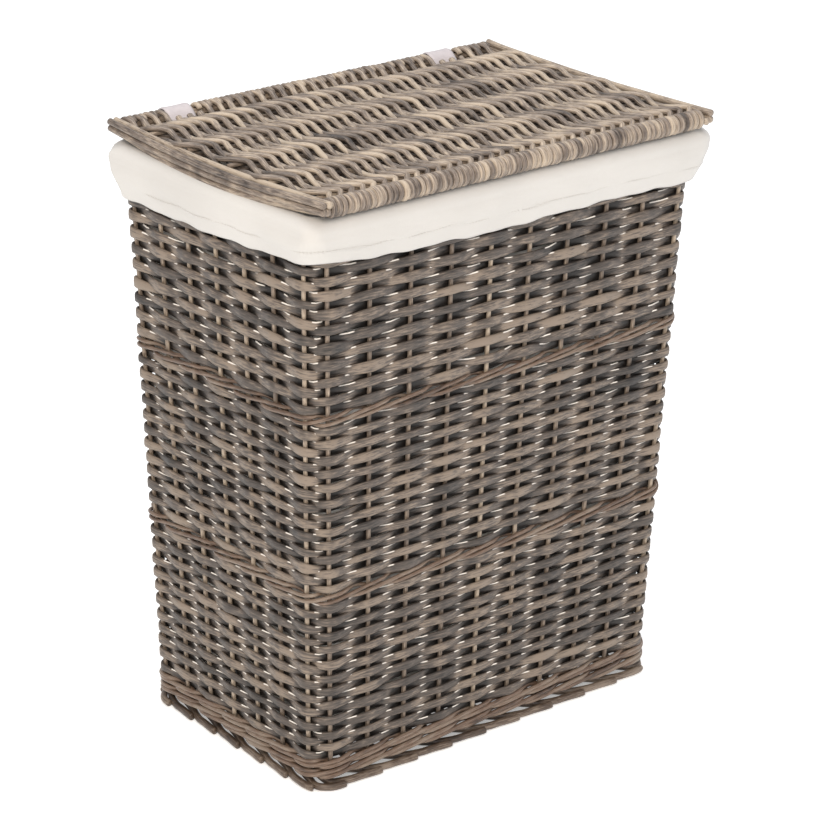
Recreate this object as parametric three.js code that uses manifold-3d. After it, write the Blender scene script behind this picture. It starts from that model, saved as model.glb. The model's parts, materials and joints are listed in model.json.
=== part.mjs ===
// Woven laundry basket: a tapered willow hamper with a lid on two strap loops and a turned-over cotton liner.
// Millimetres, +Z up. The origin is the centre of the footprint on the floor.
// The front is -Y, the lid's hinge is at +Y, and the long sides run along X.
import * as THREE from "three";
import { mergeVertices } from "three/addons/utils/BufferGeometryUtils.js";
import Module from "manifold-3d";

const wasm = await Module();
wasm.setup();

// ---- Driving dimensions -----------------------------------------------------------------------------------

const gap = 0.3; // between pieces that touch

// The woven wall, measured over the outside of the weave.
const footLength = 437; // along X, at the floor
const footDepth = 271; // along Y, at the floor
const topLength = 477; // along X, at the top of the wall
const topDepth = 303; // along Y, at the top of the wall
const cornerRadius = 28; // outside of the wall, in plan
const wall = 12; // a stake with a strand on either side

// Heights of the wall's bands, from the floor up.
const footHeight = 13;
const walingBaseHeight = 21;
const weaveLowerHeight = 164;
const walingHeight = 12;
const weaveMiddleHeight = 168;
const weaveUpperHeight = 166;

// Upright stakes, hidden inside the wall.
const stakeRadius = 3;
const longSideStakes = 8; // between the corner stakes of a long side
const shortSideStakes = 5; // between the corner stakes of a short side
const cornerStakeTurn = THREE.MathUtils.degToRad(17); // round the corner from the end of the straight wall

// See-through gaps under the loops of the foot border.
const footGapPitch = 38;
const footGapWidth = 14;
const footGapDepth = 6;

// The woven bottom.
const baseRise = 16; // clear height under it
const baseThickness = 12;
const baseSticks = 3;
const baseStickRadius = 3.5;

// The border that finishes the rim: a thick roll on top of the wall.
const rimRadius = 10.5;
const rimInset = 3.5; // the roll's centre line, in from the outside of the wall
const rimCornerRadius = 18; // the roll's centre line, in plan

// The cotton liner.
const cloth = 2;
const cuffDrop = 52; // from the top of the rim to the hem
const cuffTuck = THREE.MathUtils.degToRad(50); // how far it follows the roll's underside before it falls
const hemEase = 0.5; // between the hem and the weave
const bagEase = 1; // between the bag and the inside of the weave

// The lid.
const lidEndInset = 0.5; // in from the outside of the short walls, at the top
const lidFrontOverhang = 14; // past the outside of the front wall
const lidThickness = 20;
const lidRest = 0.4; // between the cuff and the closed lid
const lidBorderWidth = 12;
const lidBorderRound = 4;
const lidStickRadius = 4;
const lidSticks = 5; // between the edge sticks
const backBay = 42; // from the back edge stick to the next
const frontBay = 21; // from the front edge stick to the next

// The strap loops that hinge the lid.
const strapInset = 75.5; // its middle, in from the outside of the short walls
const strapWidth = 30;
const strapThickness = 2;
const strapEase = 1; // between the loop and the covered rim
const strapReach = 4; // how far the loop stands out behind the lid
const strapArch = 8; // how far it rises over the lid
const strapEntry = 3; // where it comes out of the lid's top, behind the hinge line
const strapSwing = 5.5; // extra room outside the loop's back run, for the lid tipped past upright
const strapSide = 0.8; // room at each side of the loop in its windows

const ringSegments = 24;
const stakeSides = 6;
const stickSides = 8;

// ---- Levels and centre lines worked out from them ---------------------------------------------------------

const walingBaseFoot = footHeight;
const weaveLowerFoot = walingBaseFoot + walingBaseHeight;
const walingLowerFoot = weaveLowerFoot + weaveLowerHeight;
const weaveMiddleFoot = walingLowerFoot + walingHeight;
const walingUpperFoot = weaveMiddleFoot + weaveMiddleHeight;
const weaveUpperFoot = walingUpperFoot + walingHeight;
const wallTop = weaveUpperFoot + weaveUpperHeight;

const baseTop = baseRise + baseThickness;
const rimHeight = wallTop + gap + rimRadius;
const rimLining = rimRadius + gap; // inner radius of the cloth round the rim
const coveredRim = rimLining + cloth;
const cuffFoot = rimHeight + coveredRim - cuffDrop;
const bagReach = cornerRadius - wall - bagEase; // outside of the bag, from the wall's corner centre

// The lid turns about the centre of the rim's back run; its own pieces are placed from there.
const hingeY = topDepth / 2 - rimInset;
const lidBottom = coveredRim + lidRest;
const lidTop = lidBottom + lidThickness;
const lidMiddle = lidBottom + lidThickness / 2;
const lidRound = lidThickness / 2;
// The lid and its straps together reach as far behind the basket's middle as the lid does in front.
const lidReach = topDepth / 2 + lidFrontOverhang;
const lidFront = -lidReach - hingeY;
const lidBack = lidReach - strapReach - hingeY;
const lidLength = topLength - 2 * lidEndInset;
const weaveSpan = lidLength - 2 * (lidBorderWidth + gap);

const strapCentre = topLength / 2 - strapInset;
const strapRun = coveredRim + strapEase + strapThickness / 2; // centre of the tape, round the rim
const strapBack = lidBack + strapReach - strapThickness / 2;
const windowRadius = strapBack + strapThickness / 2 + strapSwing;
const windowWidth = strapWidth + 2 * strapSide;

/** Centre of the wall's corner rounding at a height: the wall leans outwards evenly. */
function wallCorner(z) {
  const rise = z / wallTop;
  return [
    THREE.MathUtils.lerp(footLength, topLength, rise) / 2 - cornerRadius,
    THREE.MathUtils.lerp(footDepth, topDepth, rise) / 2 - cornerRadius,
  ];
}

/** Centre of the rim roll's corner rounding. */
function rimCorner() {
  return [topLength, topDepth].map((length) => length / 2 - rimInset - rimCornerRadius);
}

/** The bag hangs from the rim, straight down past its roll, and stays inside the wall. */
function bagCorner(z) {
  const inLineWithRim = rimCorner().map((corner) => corner + rimCornerRadius - rimLining - bagReach);
  return z > wallTop + gap ? rimCorner() : wallCorner(z).map((corner, i) => Math.min(corner, inLineWithRim[i]));
}

/** The cuff lies round the rim and comes in to the wall at its hem. */
function cuffCorner(z) {
  return z > cuffFoot + gap ? rimCorner() : wallCorner(cuffFoot);
}

// ---- Shapes -----------------------------------------------------------------------------------------------

/** A geometry as a manifold solid. */
function solidOf(geometry) {
  const bare = geometry.clone();
  bare.deleteAttribute("normal");
  bare.deleteAttribute("uv");
  const merged = mergeVertices(bare, 1e-3);
  return new wasm.Manifold(
    new wasm.Mesh({
      numProp: 3,
      vertProperties: merged.attributes.position.array,
      triVerts: new Uint32Array(merged.index.array),
    }),
  );
}

/** A manifold solid as a geometry. */
function geometryOf(solid) {
  const mesh = solid.getMesh();
  return new THREE.BufferGeometry()
    .setAttribute("position", new THREE.BufferAttribute(mesh.vertProperties, 3))
    .setIndex(new THREE.BufferAttribute(mesh.triVerts, 1));
}

/** Takes every cutter away from a geometry. */
function cut(geometry, cutters) {
  return geometryOf(cutters.reduce((solid, cutter) => solid.subtract(solidOf(cutter)), solidOf(geometry)));
}

/**
 * A profile of [reach, height] points turned once round the Z axis, then drawn out into a rounded rectangle:
 * each quarter moves out by its corner centre at that height, so reach is measured from the corner centre.
 */
function roundedRing(profile, cornerAt) {
  const halfStep = Math.PI / ringSegments;
  const points = profile.map(([reach, z]) => new THREE.Vector2(reach / Math.cos(halfStep), z));
  const geometry = new THREE.LatheGeometry(points, ringSegments, halfStep);
  geometry.rotateX(Math.PI / 2);
  const place = geometry.attributes.position;
  for (let i = 0; i < place.count; i++) {
    const [cornerX, cornerY] = cornerAt(place.getZ(i));
    const x = place.getX(i);
    const y = place.getY(i);
    const onAxis = Math.hypot(x, y) < 1e-6;
    place.setX(i, onAxis ? 0 : x + Math.sign(x) * cornerX);
    place.setY(i, onAxis ? 0 : y + Math.sign(y) * cornerY);
  }
  return geometry;
}

/** A closed rectangular profile between two reaches and two heights. */
function rectangle(inner, outer, low, high) {
  return [
    [outer, low],
    [outer, high],
    [inner, high],
    [inner, low],
    [outer, low],
  ];
}

/** Points on an arc about [centre, middle], from one angle to another. */
function arc(centre, middle, radius, from, to, steps) {
  return Array.from({ length: steps + 1 }, (_, i) => {
    const angle = THREE.MathUtils.lerp(from, to, i / steps);
    return [centre + radius * Math.cos(angle), middle + radius * Math.sin(angle)];
  });
}

/** A ring of wall between two heights, a little short of the band above it. */
function wallBand(low, high) {
  return roundedRing(rectangle(cornerRadius - wall, cornerRadius, low, high - gap), wallCorner);
}

/** A straight round rod between two points. */
function rod(start, end, radius, sides) {
  const run = new THREE.Vector3().subVectors(end, start);
  const geometry = new THREE.CylinderGeometry(radius, radius, run.length(), sides);
  const turn = new THREE.Quaternion().setFromUnitVectors(new THREE.Vector3(0, 1, 0), run.clone().normalize());
  const middle = start.clone().lerp(end, 0.5);
  return { geometry, turn, middle };
}

/** The same rod as a cutter, already in place. */
function rodCutter(start, end, radius, sides) {
  const { geometry, turn, middle } = rod(start, end, radius, sides);
  return geometry.applyQuaternion(turn).translate(middle.x, middle.y, middle.z);
}

/** A shape drawn in the Y-Z plane and carried along X, centred. */
function acrossX(shape, length, curveSegments = 8) {
  const geometry = new THREE.ExtrudeGeometry(shape, { depth: length, bevelEnabled: false, curveSegments });
  const turn = new THREE.Matrix4().makeBasis(
    new THREE.Vector3(0, 1, 0),
    new THREE.Vector3(0, 0, 1),
    new THREE.Vector3(1, 0, 0),
  );
  return geometry.applyMatrix4(turn).translate(-length / 2, 0, 0);
}

/** A shape drawn in the X-Z plane and carried along Y, centred. */
function acrossY(shape, length, curveSegments = 8) {
  const geometry = new THREE.ExtrudeGeometry(shape, { depth: length, bevelEnabled: false, curveSegments });
  return geometry.rotateX(Math.PI / 2).translate(0, length / 2, 0);
}

// ---- Materials --------------------------------------------------------------------------------------------

const willow = (color) => new THREE.MeshStandardMaterial({ color, roughness: 0.62, metalness: 0 });
const woven = (color) => new THREE.MeshStandardMaterial({ color, roughness: 0.95, metalness: 0 });

const colours = {
  strand: "#5f564e",
  wale: "#7a5c48",
  foot: "#6b5345",
  stake: "#8a7766",
  lid: "#867867",
  lidStick: "#8d7d6a",
  cotton: "#e9e4da",
  tape: "#b9b3b4",
};

/** A named mesh. */
function piece(name, geometry, material) {
  const mesh = new THREE.Mesh(geometry, material);
  mesh.name = name;
  return mesh;
}

/** A named rod, placed by its own position and rotation. */
function rodPiece(name, start, end, radius, sides, material) {
  const { geometry, turn, middle } = rod(start, end, radius, sides);
  const mesh = piece(name, geometry, material);
  mesh.quaternion.copy(turn);
  mesh.position.copy(middle);
  return mesh;
}

// ---- The stakes -------------------------------------------------------------------------------------------

const stakeLine = cornerRadius - wall / 2; // reach of the stakes from the corner centre
const nearCorner = stakeLine * Math.sin(cornerStakeTurn);
const offCorner = stakeLine * Math.cos(cornerStakeTurn);

/** Places of the stakes of one side, as functions of height, with the long direction first. */
function sideStakes(count, longwise) {
  return Array.from({ length: count }, (_, i) => {
    const share = (2 * (i + 1)) / (count + 1) - 1;
    return (z) => {
      const [cornerX, cornerY] = wallCorner(z);
      const along = (longwise ? cornerX : cornerY) + nearCorner;
      const across = (longwise ? cornerY : cornerX) + stakeLine;
      return [share * along, across];
    };
  });
}

/** Every stake: its name and its centre at a height. */
function stakeList() {
  const list = [];
  sideStakes(longSideStakes, true).forEach((at, i) => {
    list.push({ name: "stake_front_" + (i + 1), at: (z) => [at(z)[0], -at(z)[1]] });
    list.push({ name: "stake_back_" + (i + 1), at: (z) => at(z) });
  });
  sideStakes(shortSideStakes, false).forEach((at, i) => {
    list.push({ name: "stake_left_" + (i + 1), at: (z) => [-at(z)[1], at(z)[0]] });
    list.push({ name: "stake_right_" + (i + 1), at: (z) => [at(z)[1], at(z)[0]] });
  });
  const reaches = [
    [nearCorner, offCorner],
    [offCorner, nearCorner],
  ];
  for (const [signX, signY] of [[-1, -1], [1, -1], [1, 1], [-1, 1]]) {
    for (const [reachX, reachY] of reaches) {
      const number = list.filter(({ name }) => name.startsWith("corner")).length + 1;
      list.push({
        name: "corner_stake_" + number,
        at: (z) => [signX * (wallCorner(z)[0] + reachX), signY * (wallCorner(z)[1] + reachY)],
      });
    }
  }
  return list;
}

/** A back stake in line with a strap loop stops below the loop's window. */
function stakeTop(at) {
  const [x, y] = at(wallTop);
  const room = windowWidth / 2 + stakeRadius + gap;
  const meetsStrap = y > 0 && Math.abs(Math.abs(x) - strapCentre) < room;
  return (meetsStrap ? rimHeight - windowRadius : wallTop) - gap;
}

const stakes = stakeList();
const spot = (at, z) => new THREE.Vector3(...at(z), z);
const channels = stakes.map(({ at }) => rodCutter(spot(at, 0), spot(at, rimHeight), stakeRadius + gap, stakeSides));

// ---- The basket -------------------------------------------------------------------------------------------

/** Wedges through the foot border's top edge, where daylight shows between its loops. */
function footGaps() {
  const wedge = new THREE.Shape([
    new THREE.Vector2(-footGapWidth / 2, footHeight),
    new THREE.Vector2(footGapWidth / 5, footHeight - footGapDepth),
    new THREE.Vector2(footGapWidth / 2, footHeight),
  ]);
  const [cornerX, cornerY] = wallCorner(footHeight);
  const run = (half) => {
    const count = Math.floor((2 * half) / footGapPitch);
    return Array.from({ length: count }, (_, i) => (i - (count - 1) / 2) * footGapPitch);
  };
  return [
    ...run(cornerX).map((x) => acrossY(wedge, 2 * topDepth).translate(x, 0, 0)),
    ...run(cornerY).map((y) => acrossX(wedge, 2 * topLength).translate(0, y, 0)),
  ];
}

/** The foot border: a ring of thick rods with a flat underside. */
function footBorder() {
  const ring = wallBand(0, footHeight);
  return piece("foot_border", cut(ring, footGaps()), willow(colours.foot));
}

/** One band of the wall, with a channel for each stake and any further cuts. */
function band(name, low, high, color, cutters = []) {
  return piece(name, cut(wallBand(low, high), [...channels, ...cutters]), willow(color));
}

/** Room in the wall for each strap loop to turn round the rim. */
function strapWindows() {
  return [-strapCentre, strapCentre].map((x) =>
    new THREE.CylinderGeometry(windowRadius, windowRadius, windowWidth, ringSegments)
      .rotateZ(Math.PI / 2)
      .translate(x, hingeY, rimHeight),
  );
}

/** Slots in the liner for the strap loops, which leave the cloth round the rim whole. */
function linerSlots() {
  const slot = new THREE.Shape().absarc(hingeY, rimHeight, windowRadius, 0, 2 * Math.PI, false);
  slot.holes.push(new THREE.Path().absarc(hingeY, rimHeight, coveredRim + gap, 0, 2 * Math.PI, true));
  return [-strapCentre, strapCentre].map((x) => acrossX(slot, windowWidth, ringSegments).translate(x, 0, 0));
}

/** Centre lines of the base sticks, spread evenly over the bottom's depth. */
function baseStickLines() {
  const middle = baseRise + baseThickness / 2;
  const [cornerX, cornerY] = wallCorner(baseRise);
  const end = cornerX + cornerRadius - wall - 2 * gap;
  const half = cornerY + cornerRadius - wall;
  return Array.from({ length: baseSticks }, (_, i) => {
    const y = half * ((2 * (i + 1)) / (baseSticks + 1) - 1);
    return [new THREE.Vector3(-end, y, middle), new THREE.Vector3(end, y, middle)];
  });
}

/** The woven bottom: a plate that fills the wall's inside, with its sticks run through it. */
function bottom() {
  const reach = cornerRadius - wall - gap;
  const plate = roundedRing(
    [
      [0, baseRise],
      [reach, baseRise],
      [reach, baseTop],
      [0, baseTop],
    ],
    wallCorner,
  );
  const lines = baseStickLines();
  const longer = new THREE.Vector3(wall, 0, 0);
  const cutters = lines.map(([start, end]) =>
    rodCutter(start.clone().sub(longer), end.clone().add(longer), baseStickRadius + gap, stickSides),
  );
  return [
    piece("base_weave", cut(plate, cutters), willow(colours.strand)),
    ...lines.map(([start, end], i) =>
      rodPiece("base_stick_" + (i + 1), start, end, baseStickRadius, stickSides, willow(colours.stake)),
    ),
  ];
}

/** The stakes themselves. */
function stakeRods() {
  return stakes.map(({ name, at }) => {
    const foot = spot(at, footHeight + gap);
    const top = spot(at, stakeTop(at));
    return rodPiece(name, foot, top, stakeRadius, stakeSides, willow(colours.stake));
  });
}

/** The rim border: one thick roll round the top. */
function rimBorder() {
  const profile = arc(rimCornerRadius, rimHeight, rimRadius, 0, 2 * Math.PI, 12);
  return piece("rim_border", roundedRing(profile, rimCorner), willow(colours.strand));
}

/** The liner's bag: an open-topped box of cloth hanging from the inner side of the rim. */
function linerBag() {
  const top = rimHeight - gap;
  const inner = bagReach - cloth;
  const floor = baseTop + gap;
  const profile = [
    [0, floor],
    [bagReach, floor],
    [bagReach, wallTop],
    [rimCornerRadius - rimLining, top],
    [rimCornerRadius - coveredRim, top],
    [inner, wallTop],
    [inner, floor + cloth],
    [0, floor + cloth],
  ];
  return piece("liner_bag", cut(roundedRing(profile, bagCorner), linerSlots()), woven(colours.cotton));
}

/** The liner's cuff: over the rim from its inner side, then down the outside to the hem. */
function linerCuff() {
  const hem = cornerRadius + hemEase;
  // Steps short enough that the middle of each keeps a tenth of the gap to the roll.
  const longestStep = 2 * Math.acos(1 - (0.9 * gap) / rimLining);
  const steps = Math.ceil((Math.PI + cuffTuck) / longestStep);
  const profile = [
    [hem, cuffFoot],
    [hem + cloth, cuffFoot],
    ...arc(rimCornerRadius, rimHeight, coveredRim, -cuffTuck, Math.PI, steps),
    ...arc(rimCornerRadius, rimHeight, rimLining, Math.PI, -cuffTuck, steps),
    [hem, cuffFoot],
  ];
  return piece("liner_cuff", cut(roundedRing(profile, cuffCorner), linerSlots()), woven(colours.cotton));
}

// ---- The lid, placed from the hinge line ------------------------------------------------------------------

/** Where the lid's long sticks run, from the back edge to the front edge. */
const backStick = lidBack - lidRound;
const frontStick = lidFront + lidRound;
const lidStickPlaces = [
  { name: "lid_stick_back", y: backStick },
  ...Array.from({ length: lidSticks }, (_, i) => ({
    name: "lid_stick_" + (i + 1),
    y: THREE.MathUtils.lerp(backStick - backBay, frontStick + frontBay, i / (lidSticks - 1)),
  })),
  { name: "lid_stick_front", y: frontStick },
];

/** Outline of the strap loop, round the rim and over the lid's back edge, grown by a clearance. */
function strapOutline(clearance) {
  const diagonal = strapRun * Math.SQRT1_2;
  const low = [
    [0, -strapRun],
    [-diagonal, -diagonal],
    [-strapRun, 0],
    [-strapRun, lidBottom - strapEase],
  ];
  const high = [
    [strapEntry, lidTop],
    [strapEntry + strapReach, lidTop + strapArch * 0.8],
    [(strapEntry + strapBack) / 2 + strapThickness, lidTop + strapArch],
    [strapBack - strapThickness, lidTop + strapArch * 0.6],
    [strapBack, lidMiddle - strapReach],
    [diagonal + strapReach, -strapReach],
    [diagonal, -diagonal],
  ];
  const points = [...low, ...high].map(([y, z]) => new THREE.Vector3(y, z, 0));
  const loop = new THREE.CatmullRomCurve3(points, true, "centripetal");
  const half = strapThickness / 2 + clearance;
  const steps = 36;
  const side = (offset) =>
    Array.from({ length: steps }, (_, i) => {
      const at = loop.getPointAt(i / steps);
      const along = loop.getTangentAt(i / steps);
      return new THREE.Vector2(at.x + along.y * offset, at.y - along.x * offset);
    });
  const shape = new THREE.Shape(side(-half));
  shape.holes.push(new THREE.Path(side(half).reverse()));
  return shape;
}

/** One strap loop. */
function strap(name, x) {
  const geometry = acrossX(strapOutline(0), strapWidth);
  const mesh = piece(name, geometry, woven(colours.tape));
  mesh.position.x = x;
  return mesh;
}

/** The lid's woven panel: its weavers wrap round the edge sticks, so its long edges are round. */
function lidWeave() {
  const outline = new THREE.Shape();
  outline.absarc(lidBack - lidRound, lidMiddle, lidRound, -Math.PI / 2, Math.PI / 2, false);
  outline.absarc(lidFront + lidRound, lidMiddle, lidRound, Math.PI / 2, (3 * Math.PI) / 2, false);
  outline.closePath();
  for (const { y } of lidStickPlaces) {
    outline.holes.push(new THREE.Path().absarc(y, lidMiddle, lidStickRadius + gap, 0, 2 * Math.PI, true));
  }
  const slot = acrossX(strapOutline(gap), strapWidth + 2 * gap);
  const slots = [-strapCentre, strapCentre].map((x) => slot.clone().translate(x, 0, 0));
  return piece("lid_weave", cut(acrossX(outline, weaveSpan, 5), slots), willow(colours.lid));
}

/** The sticks that the lid is woven on. */
function lidStickRods() {
  const half = weaveSpan / 2;
  return lidStickPlaces.map(({ name, y }) =>
    rodPiece(
      name,
      new THREE.Vector3(-half, y, lidMiddle),
      new THREE.Vector3(half, y, lidMiddle),
      lidStickRadius,
      stickSides,
      willow(colours.lidStick),
    ),
  );
}

/** The rod bundle that finishes one short edge of the lid. */
function lidBorder(name, side) {
  const halfWidth = lidBorderWidth / 2;
  const halfHeight = lidThickness / 2;
  const flatX = halfWidth - lidBorderRound;
  const flatZ = halfHeight - lidBorderRound;
  const section = new THREE.Shape();
  section.absarc(flatX, flatZ, lidBorderRound, 0, Math.PI / 2, false);
  section.absarc(-flatX, flatZ, lidBorderRound, Math.PI / 2, Math.PI, false);
  section.absarc(-flatX, -flatZ, lidBorderRound, Math.PI, (3 * Math.PI) / 2, false);
  section.absarc(flatX, -flatZ, lidBorderRound, (3 * Math.PI) / 2, 2 * Math.PI, false);
  section.closePath();
  const mesh = piece(name, acrossY(section, lidBack - lidFront, 3), willow(colours.lid));
  mesh.position.set(side * (lidLength / 2 - halfWidth), (lidFront + lidBack) / 2, lidMiddle);
  return mesh;
}

// ---- Assembly ---------------------------------------------------------------------------------------------

const basket = new THREE.Group();
basket.add(
  footBorder(),
  band("waling_base", walingBaseFoot, weaveLowerFoot, colours.wale),
  band("weave_lower", weaveLowerFoot, walingLowerFoot, colours.strand),
  band("waling_lower", walingLowerFoot, weaveMiddleFoot, colours.wale),
  band("weave_middle", weaveMiddleFoot, walingUpperFoot, colours.strand),
  band("waling_upper", walingUpperFoot, weaveUpperFoot, colours.wale),
  band("weave_upper", weaveUpperFoot, wallTop, colours.strand, strapWindows()),
  ...bottom(),
  ...stakeRods(),
  rimBorder(),
  linerBag(),
  linerCuff(),
);

const lid = new THREE.Group();
lid.position.set(0, hingeY, rimHeight);
lid.add(
  lidWeave(),
  ...lidStickRods(),
  lidBorder("lid_border_left", -1),
  lidBorder("lid_border_right", 1),
  strap("hinge_strap_left", -strapCentre),
  strap("hinge_strap_right", strapCentre),
);

const laundryBasket = new THREE.Group();
laundryBasket.add(basket, lid);

export default laundryBasket;
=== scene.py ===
"""Woven laundry basket with a strap-hinged lid and a turned-over cotton liner: the visual model."""
import json
import math

import bpy
import numpy as np
from mathutils import Matrix, Vector


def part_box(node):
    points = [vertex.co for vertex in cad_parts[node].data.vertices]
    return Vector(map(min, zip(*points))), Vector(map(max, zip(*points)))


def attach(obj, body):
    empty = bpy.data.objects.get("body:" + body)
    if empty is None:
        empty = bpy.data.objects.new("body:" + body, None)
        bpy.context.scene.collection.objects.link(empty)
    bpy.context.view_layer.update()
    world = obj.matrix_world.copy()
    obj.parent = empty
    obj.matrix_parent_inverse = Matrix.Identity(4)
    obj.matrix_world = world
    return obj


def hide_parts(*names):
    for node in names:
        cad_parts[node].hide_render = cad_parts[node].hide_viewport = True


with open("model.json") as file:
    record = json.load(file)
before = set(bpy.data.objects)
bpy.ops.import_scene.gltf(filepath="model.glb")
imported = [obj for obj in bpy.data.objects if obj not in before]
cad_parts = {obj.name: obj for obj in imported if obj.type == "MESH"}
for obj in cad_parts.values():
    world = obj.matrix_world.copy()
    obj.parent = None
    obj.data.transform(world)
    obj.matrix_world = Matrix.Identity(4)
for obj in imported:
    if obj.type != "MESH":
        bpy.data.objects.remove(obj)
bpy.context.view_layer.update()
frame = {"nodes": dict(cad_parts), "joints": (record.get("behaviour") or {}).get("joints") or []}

bl_info = {
    "name": "Woven laundry basket",
    "version": (1, 0, 0),
    "blender": (4, 5, 0),
    "location": "3D View > Sidebar > Basket",
    "description": "Weaves a lidded willow laundry basket with a cotton liner round its CAD frame",
    "category": "Add Mesh",
}

MM = 0.001


# ---- The frame --------------------------------------------------------------------------------------------


def low(node):
    """Lowest corner of a CAD node."""
    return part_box(node)[0]


def high(node):
    """Highest corner of a CAD node."""
    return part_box(node)[1]


def nodes_named(start):
    """The CAD nodes whose names start with a word and an underscore, in order of their numbers."""
    split = [name.rsplit("_", 1) for name in frame["nodes"]]
    numbers = sorted(int(end) for word, end in split if word == start and end.isdigit())
    return [f"{start}_{number}" for number in numbers]


LONG_STAKES = len(nodes_named("stake_front"))
SHORT_STAKES = len(nodes_named("stake_left"))
STAKES = 2 * (LONG_STAKES + SHORT_STAKES) + 8
HINGE = Vector(frame["joints"][0]["pos_m"])


def wall_half(z):
    """Half length and half depth of the wall's outside at height z, straight from the foot to the top."""
    foot, top = high("foot_border"), high("weave_upper")
    share = (z - foot.z) / (top.z - foot.z)
    return foot.x + (top.x - foot.x) * share, foot.y + (top.y - foot.y) * share


# ---- Colours ----------------------------------------------------------------------------------------------


def linear(code):
    """An sRGB hex colour as linear red, green and blue."""
    values = [int(code[i : i + 2], 16) / 255 for i in (1, 3, 5)]
    return tuple(v / 12.92 if v <= 0.04045 else ((v + 0.055) / 1.055) ** 2.4 for v in values)


def size_value(label, about, millimetres):
    """A length that a user may change."""
    return bpy.props.FloatProperty(
        name=label, description=about, default=millimetres * MM, min=0, unit="LENGTH"
    )


def colour_value(label, about, code):
    """A colour that a user may change."""
    return bpy.props.FloatVectorProperty(
        name=label, description=about, default=linear(code), min=0, max=1, subtype="COLOR"
    )


class WallSettings(bpy.types.PropertyGroup):
    """Sizes of the wall's weave."""

    corner: size_value("Corner radius", "Outside of the wall, in plan", 28)
    wall: size_value("Wall thickness", "A stake with a strand on either side", 12)
    strand: size_value("Strand thickness", "Through the flat willow strand", 3.3)
    strand_height: size_value("Strand height", "Where the strand passes a stake", 10.2)
    row: size_value("Row spacing", "From one row to the next in the top band", 8.2)
    fine_row: size_value("Fine row spacing", "From one row to the next in the two lower bands", 7.3)
    arch: size_value("Strand arch", "How much higher a strand is outside a stake than between two", 1.4)
    corner_turn: bpy.props.FloatProperty(
        name="Corner stake turn",
        description="From the end of the straight wall to a corner stake",
        default=math.radians(17),
        subtype="ANGLE",
    )
    stake: size_value("Stake thickness", "Across a round stake", 4.6)
    wale_rod: size_value("Waling rod", "Across a rod of the two narrow bands", 3.7)
    base_rod: size_value("Base waling rod", "Across a rod of the band at the bottom", 4.5)
    foot_rod: size_value("Foot rod", "Across a rod of the foot border", 7.4)
    base_stick: size_value("Base stick", "Across a stick of the woven bottom", 7)
    rim_rod: size_value("Rim rod", "Across one of the four rods of the rim", 8.4)
    rim_corner: size_value("Rim corner", "Radius of the rim's centre line at its corners, in plan", 18)


class LidSettings(bpy.types.PropertyGroup):
    """Sizes of the lid's weave."""

    weaver: size_value("Weaver thickness", "Across a round weaver, from side to side", 6.2)
    weaver_height: size_value("Weaver height", "Across a weaver, from bottom to top", 4.9)
    pitch: size_value("Weaver spacing", "From one weaver to the next", 6.25)
    drift_over: size_value("Drift over a stick", "How far a weaver moves sideways on top of a stick", 13)
    drift_under: size_value("Drift under a stick", "How far a weaver moves sideways below a stick", 6)
    lift: size_value("Lift", "Of a weaver's middle over a stick's middle", 4.6)
    rise: size_value("Rise", "Of the inner sticks over the lid's middle", 2.5)
    stick: size_value("Edge stick thickness", "Across the sticks of the long edges", 8)
    inner_stick: size_value("Inner stick thickness", "Across the sticks between them", 4.6)
    border_rod: size_value("Border rod", "Across a rod of the short edges", 6.8)
    sag: size_value("Border sag", "How far the short edges hang at their middle", 5)
    bow: size_value("Border bow", "How far the short edges stand out at their middle", 5)


class LinerSettings(bpy.types.PropertyGroup):
    """Sizes of the cotton liner and the tape."""

    cloth: size_value("Cloth thickness", "Of the cotton", 1.1)
    hem: size_value("Hem depth", "From the cuff's edge to its stitching", 17)
    cuff_corner: size_value("Cuff corner", "Radius of the cuff's corners at the rim, in plan", 15)
    hem_corner: size_value("Hem corner", "Radius of the cuff's corners at its hem, in plan", 22)
    stitch: size_value("Stitch length", "From one stitch to the next", 3.6)
    tape: size_value("Tape thickness", "Of the strap loops", 1.8)


class ColourSettings(bpy.types.PropertyGroup):
    """Colours of the finishes."""

    wall_dark: colour_value("Wall, dark", "Weathered grain of the wall's strands", "#1f1b18")
    wall_mid: colour_value("Wall, middle", "Body of the wall's strands", "#544b44")
    wall_light: colour_value("Wall, light", "Worn parts of the wall's strands", "#837567")
    lid_dark: colour_value("Lid, dark", "Grain of the lid's weavers", "#2e2621")
    lid_mid: colour_value("Lid, middle", "Body of the lid's weavers", "#82756a")
    lid_light: colour_value("Lid, light", "Worn parts of the lid's weavers", "#b3a491")
    wale: colour_value("Waling", "Body of the waling rods", "#6e5848")
    foot: colour_value("Foot", "Body of the foot rods", "#554538")
    stick: colour_value("Sticks", "Body of the stakes and sticks", "#857668")
    cotton: colour_value("Cotton", "The liner's cloth", "#cccac6")
    tape: colour_value("Tape", "The strap loops", "#bdb6b8")


class BasketSettings(bpy.types.PropertyGroup):
    """All the sizes and colours of the basket."""

    wall: bpy.props.PointerProperty(type=WallSettings)
    lid: bpy.props.PointerProperty(type=LidSettings)
    liner: bpy.props.PointerProperty(type=LinerSettings)
    colours: bpy.props.PointerProperty(type=ColourSettings)


def settings():
    """The scene's basket settings."""
    return bpy.context.scene.woven_basket


# ---- Meshes from arrays -----------------------------------------------------------------------------------

# How far the grain is moved along a strand from one row to the next, so that no two rows look alike.
GRAIN_SHIFT = 0.371


def unit(vectors):
    """Vectors of length one."""
    return vectors / np.maximum(np.linalg.norm(vectors, axis=-1, keepdims=True), 1e-12)


def smooth(x):
    """Rises from 0 to 1 with level ends."""
    x = np.clip(x, 0, 1)
    return x * x * (3 - 2 * x)


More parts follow.
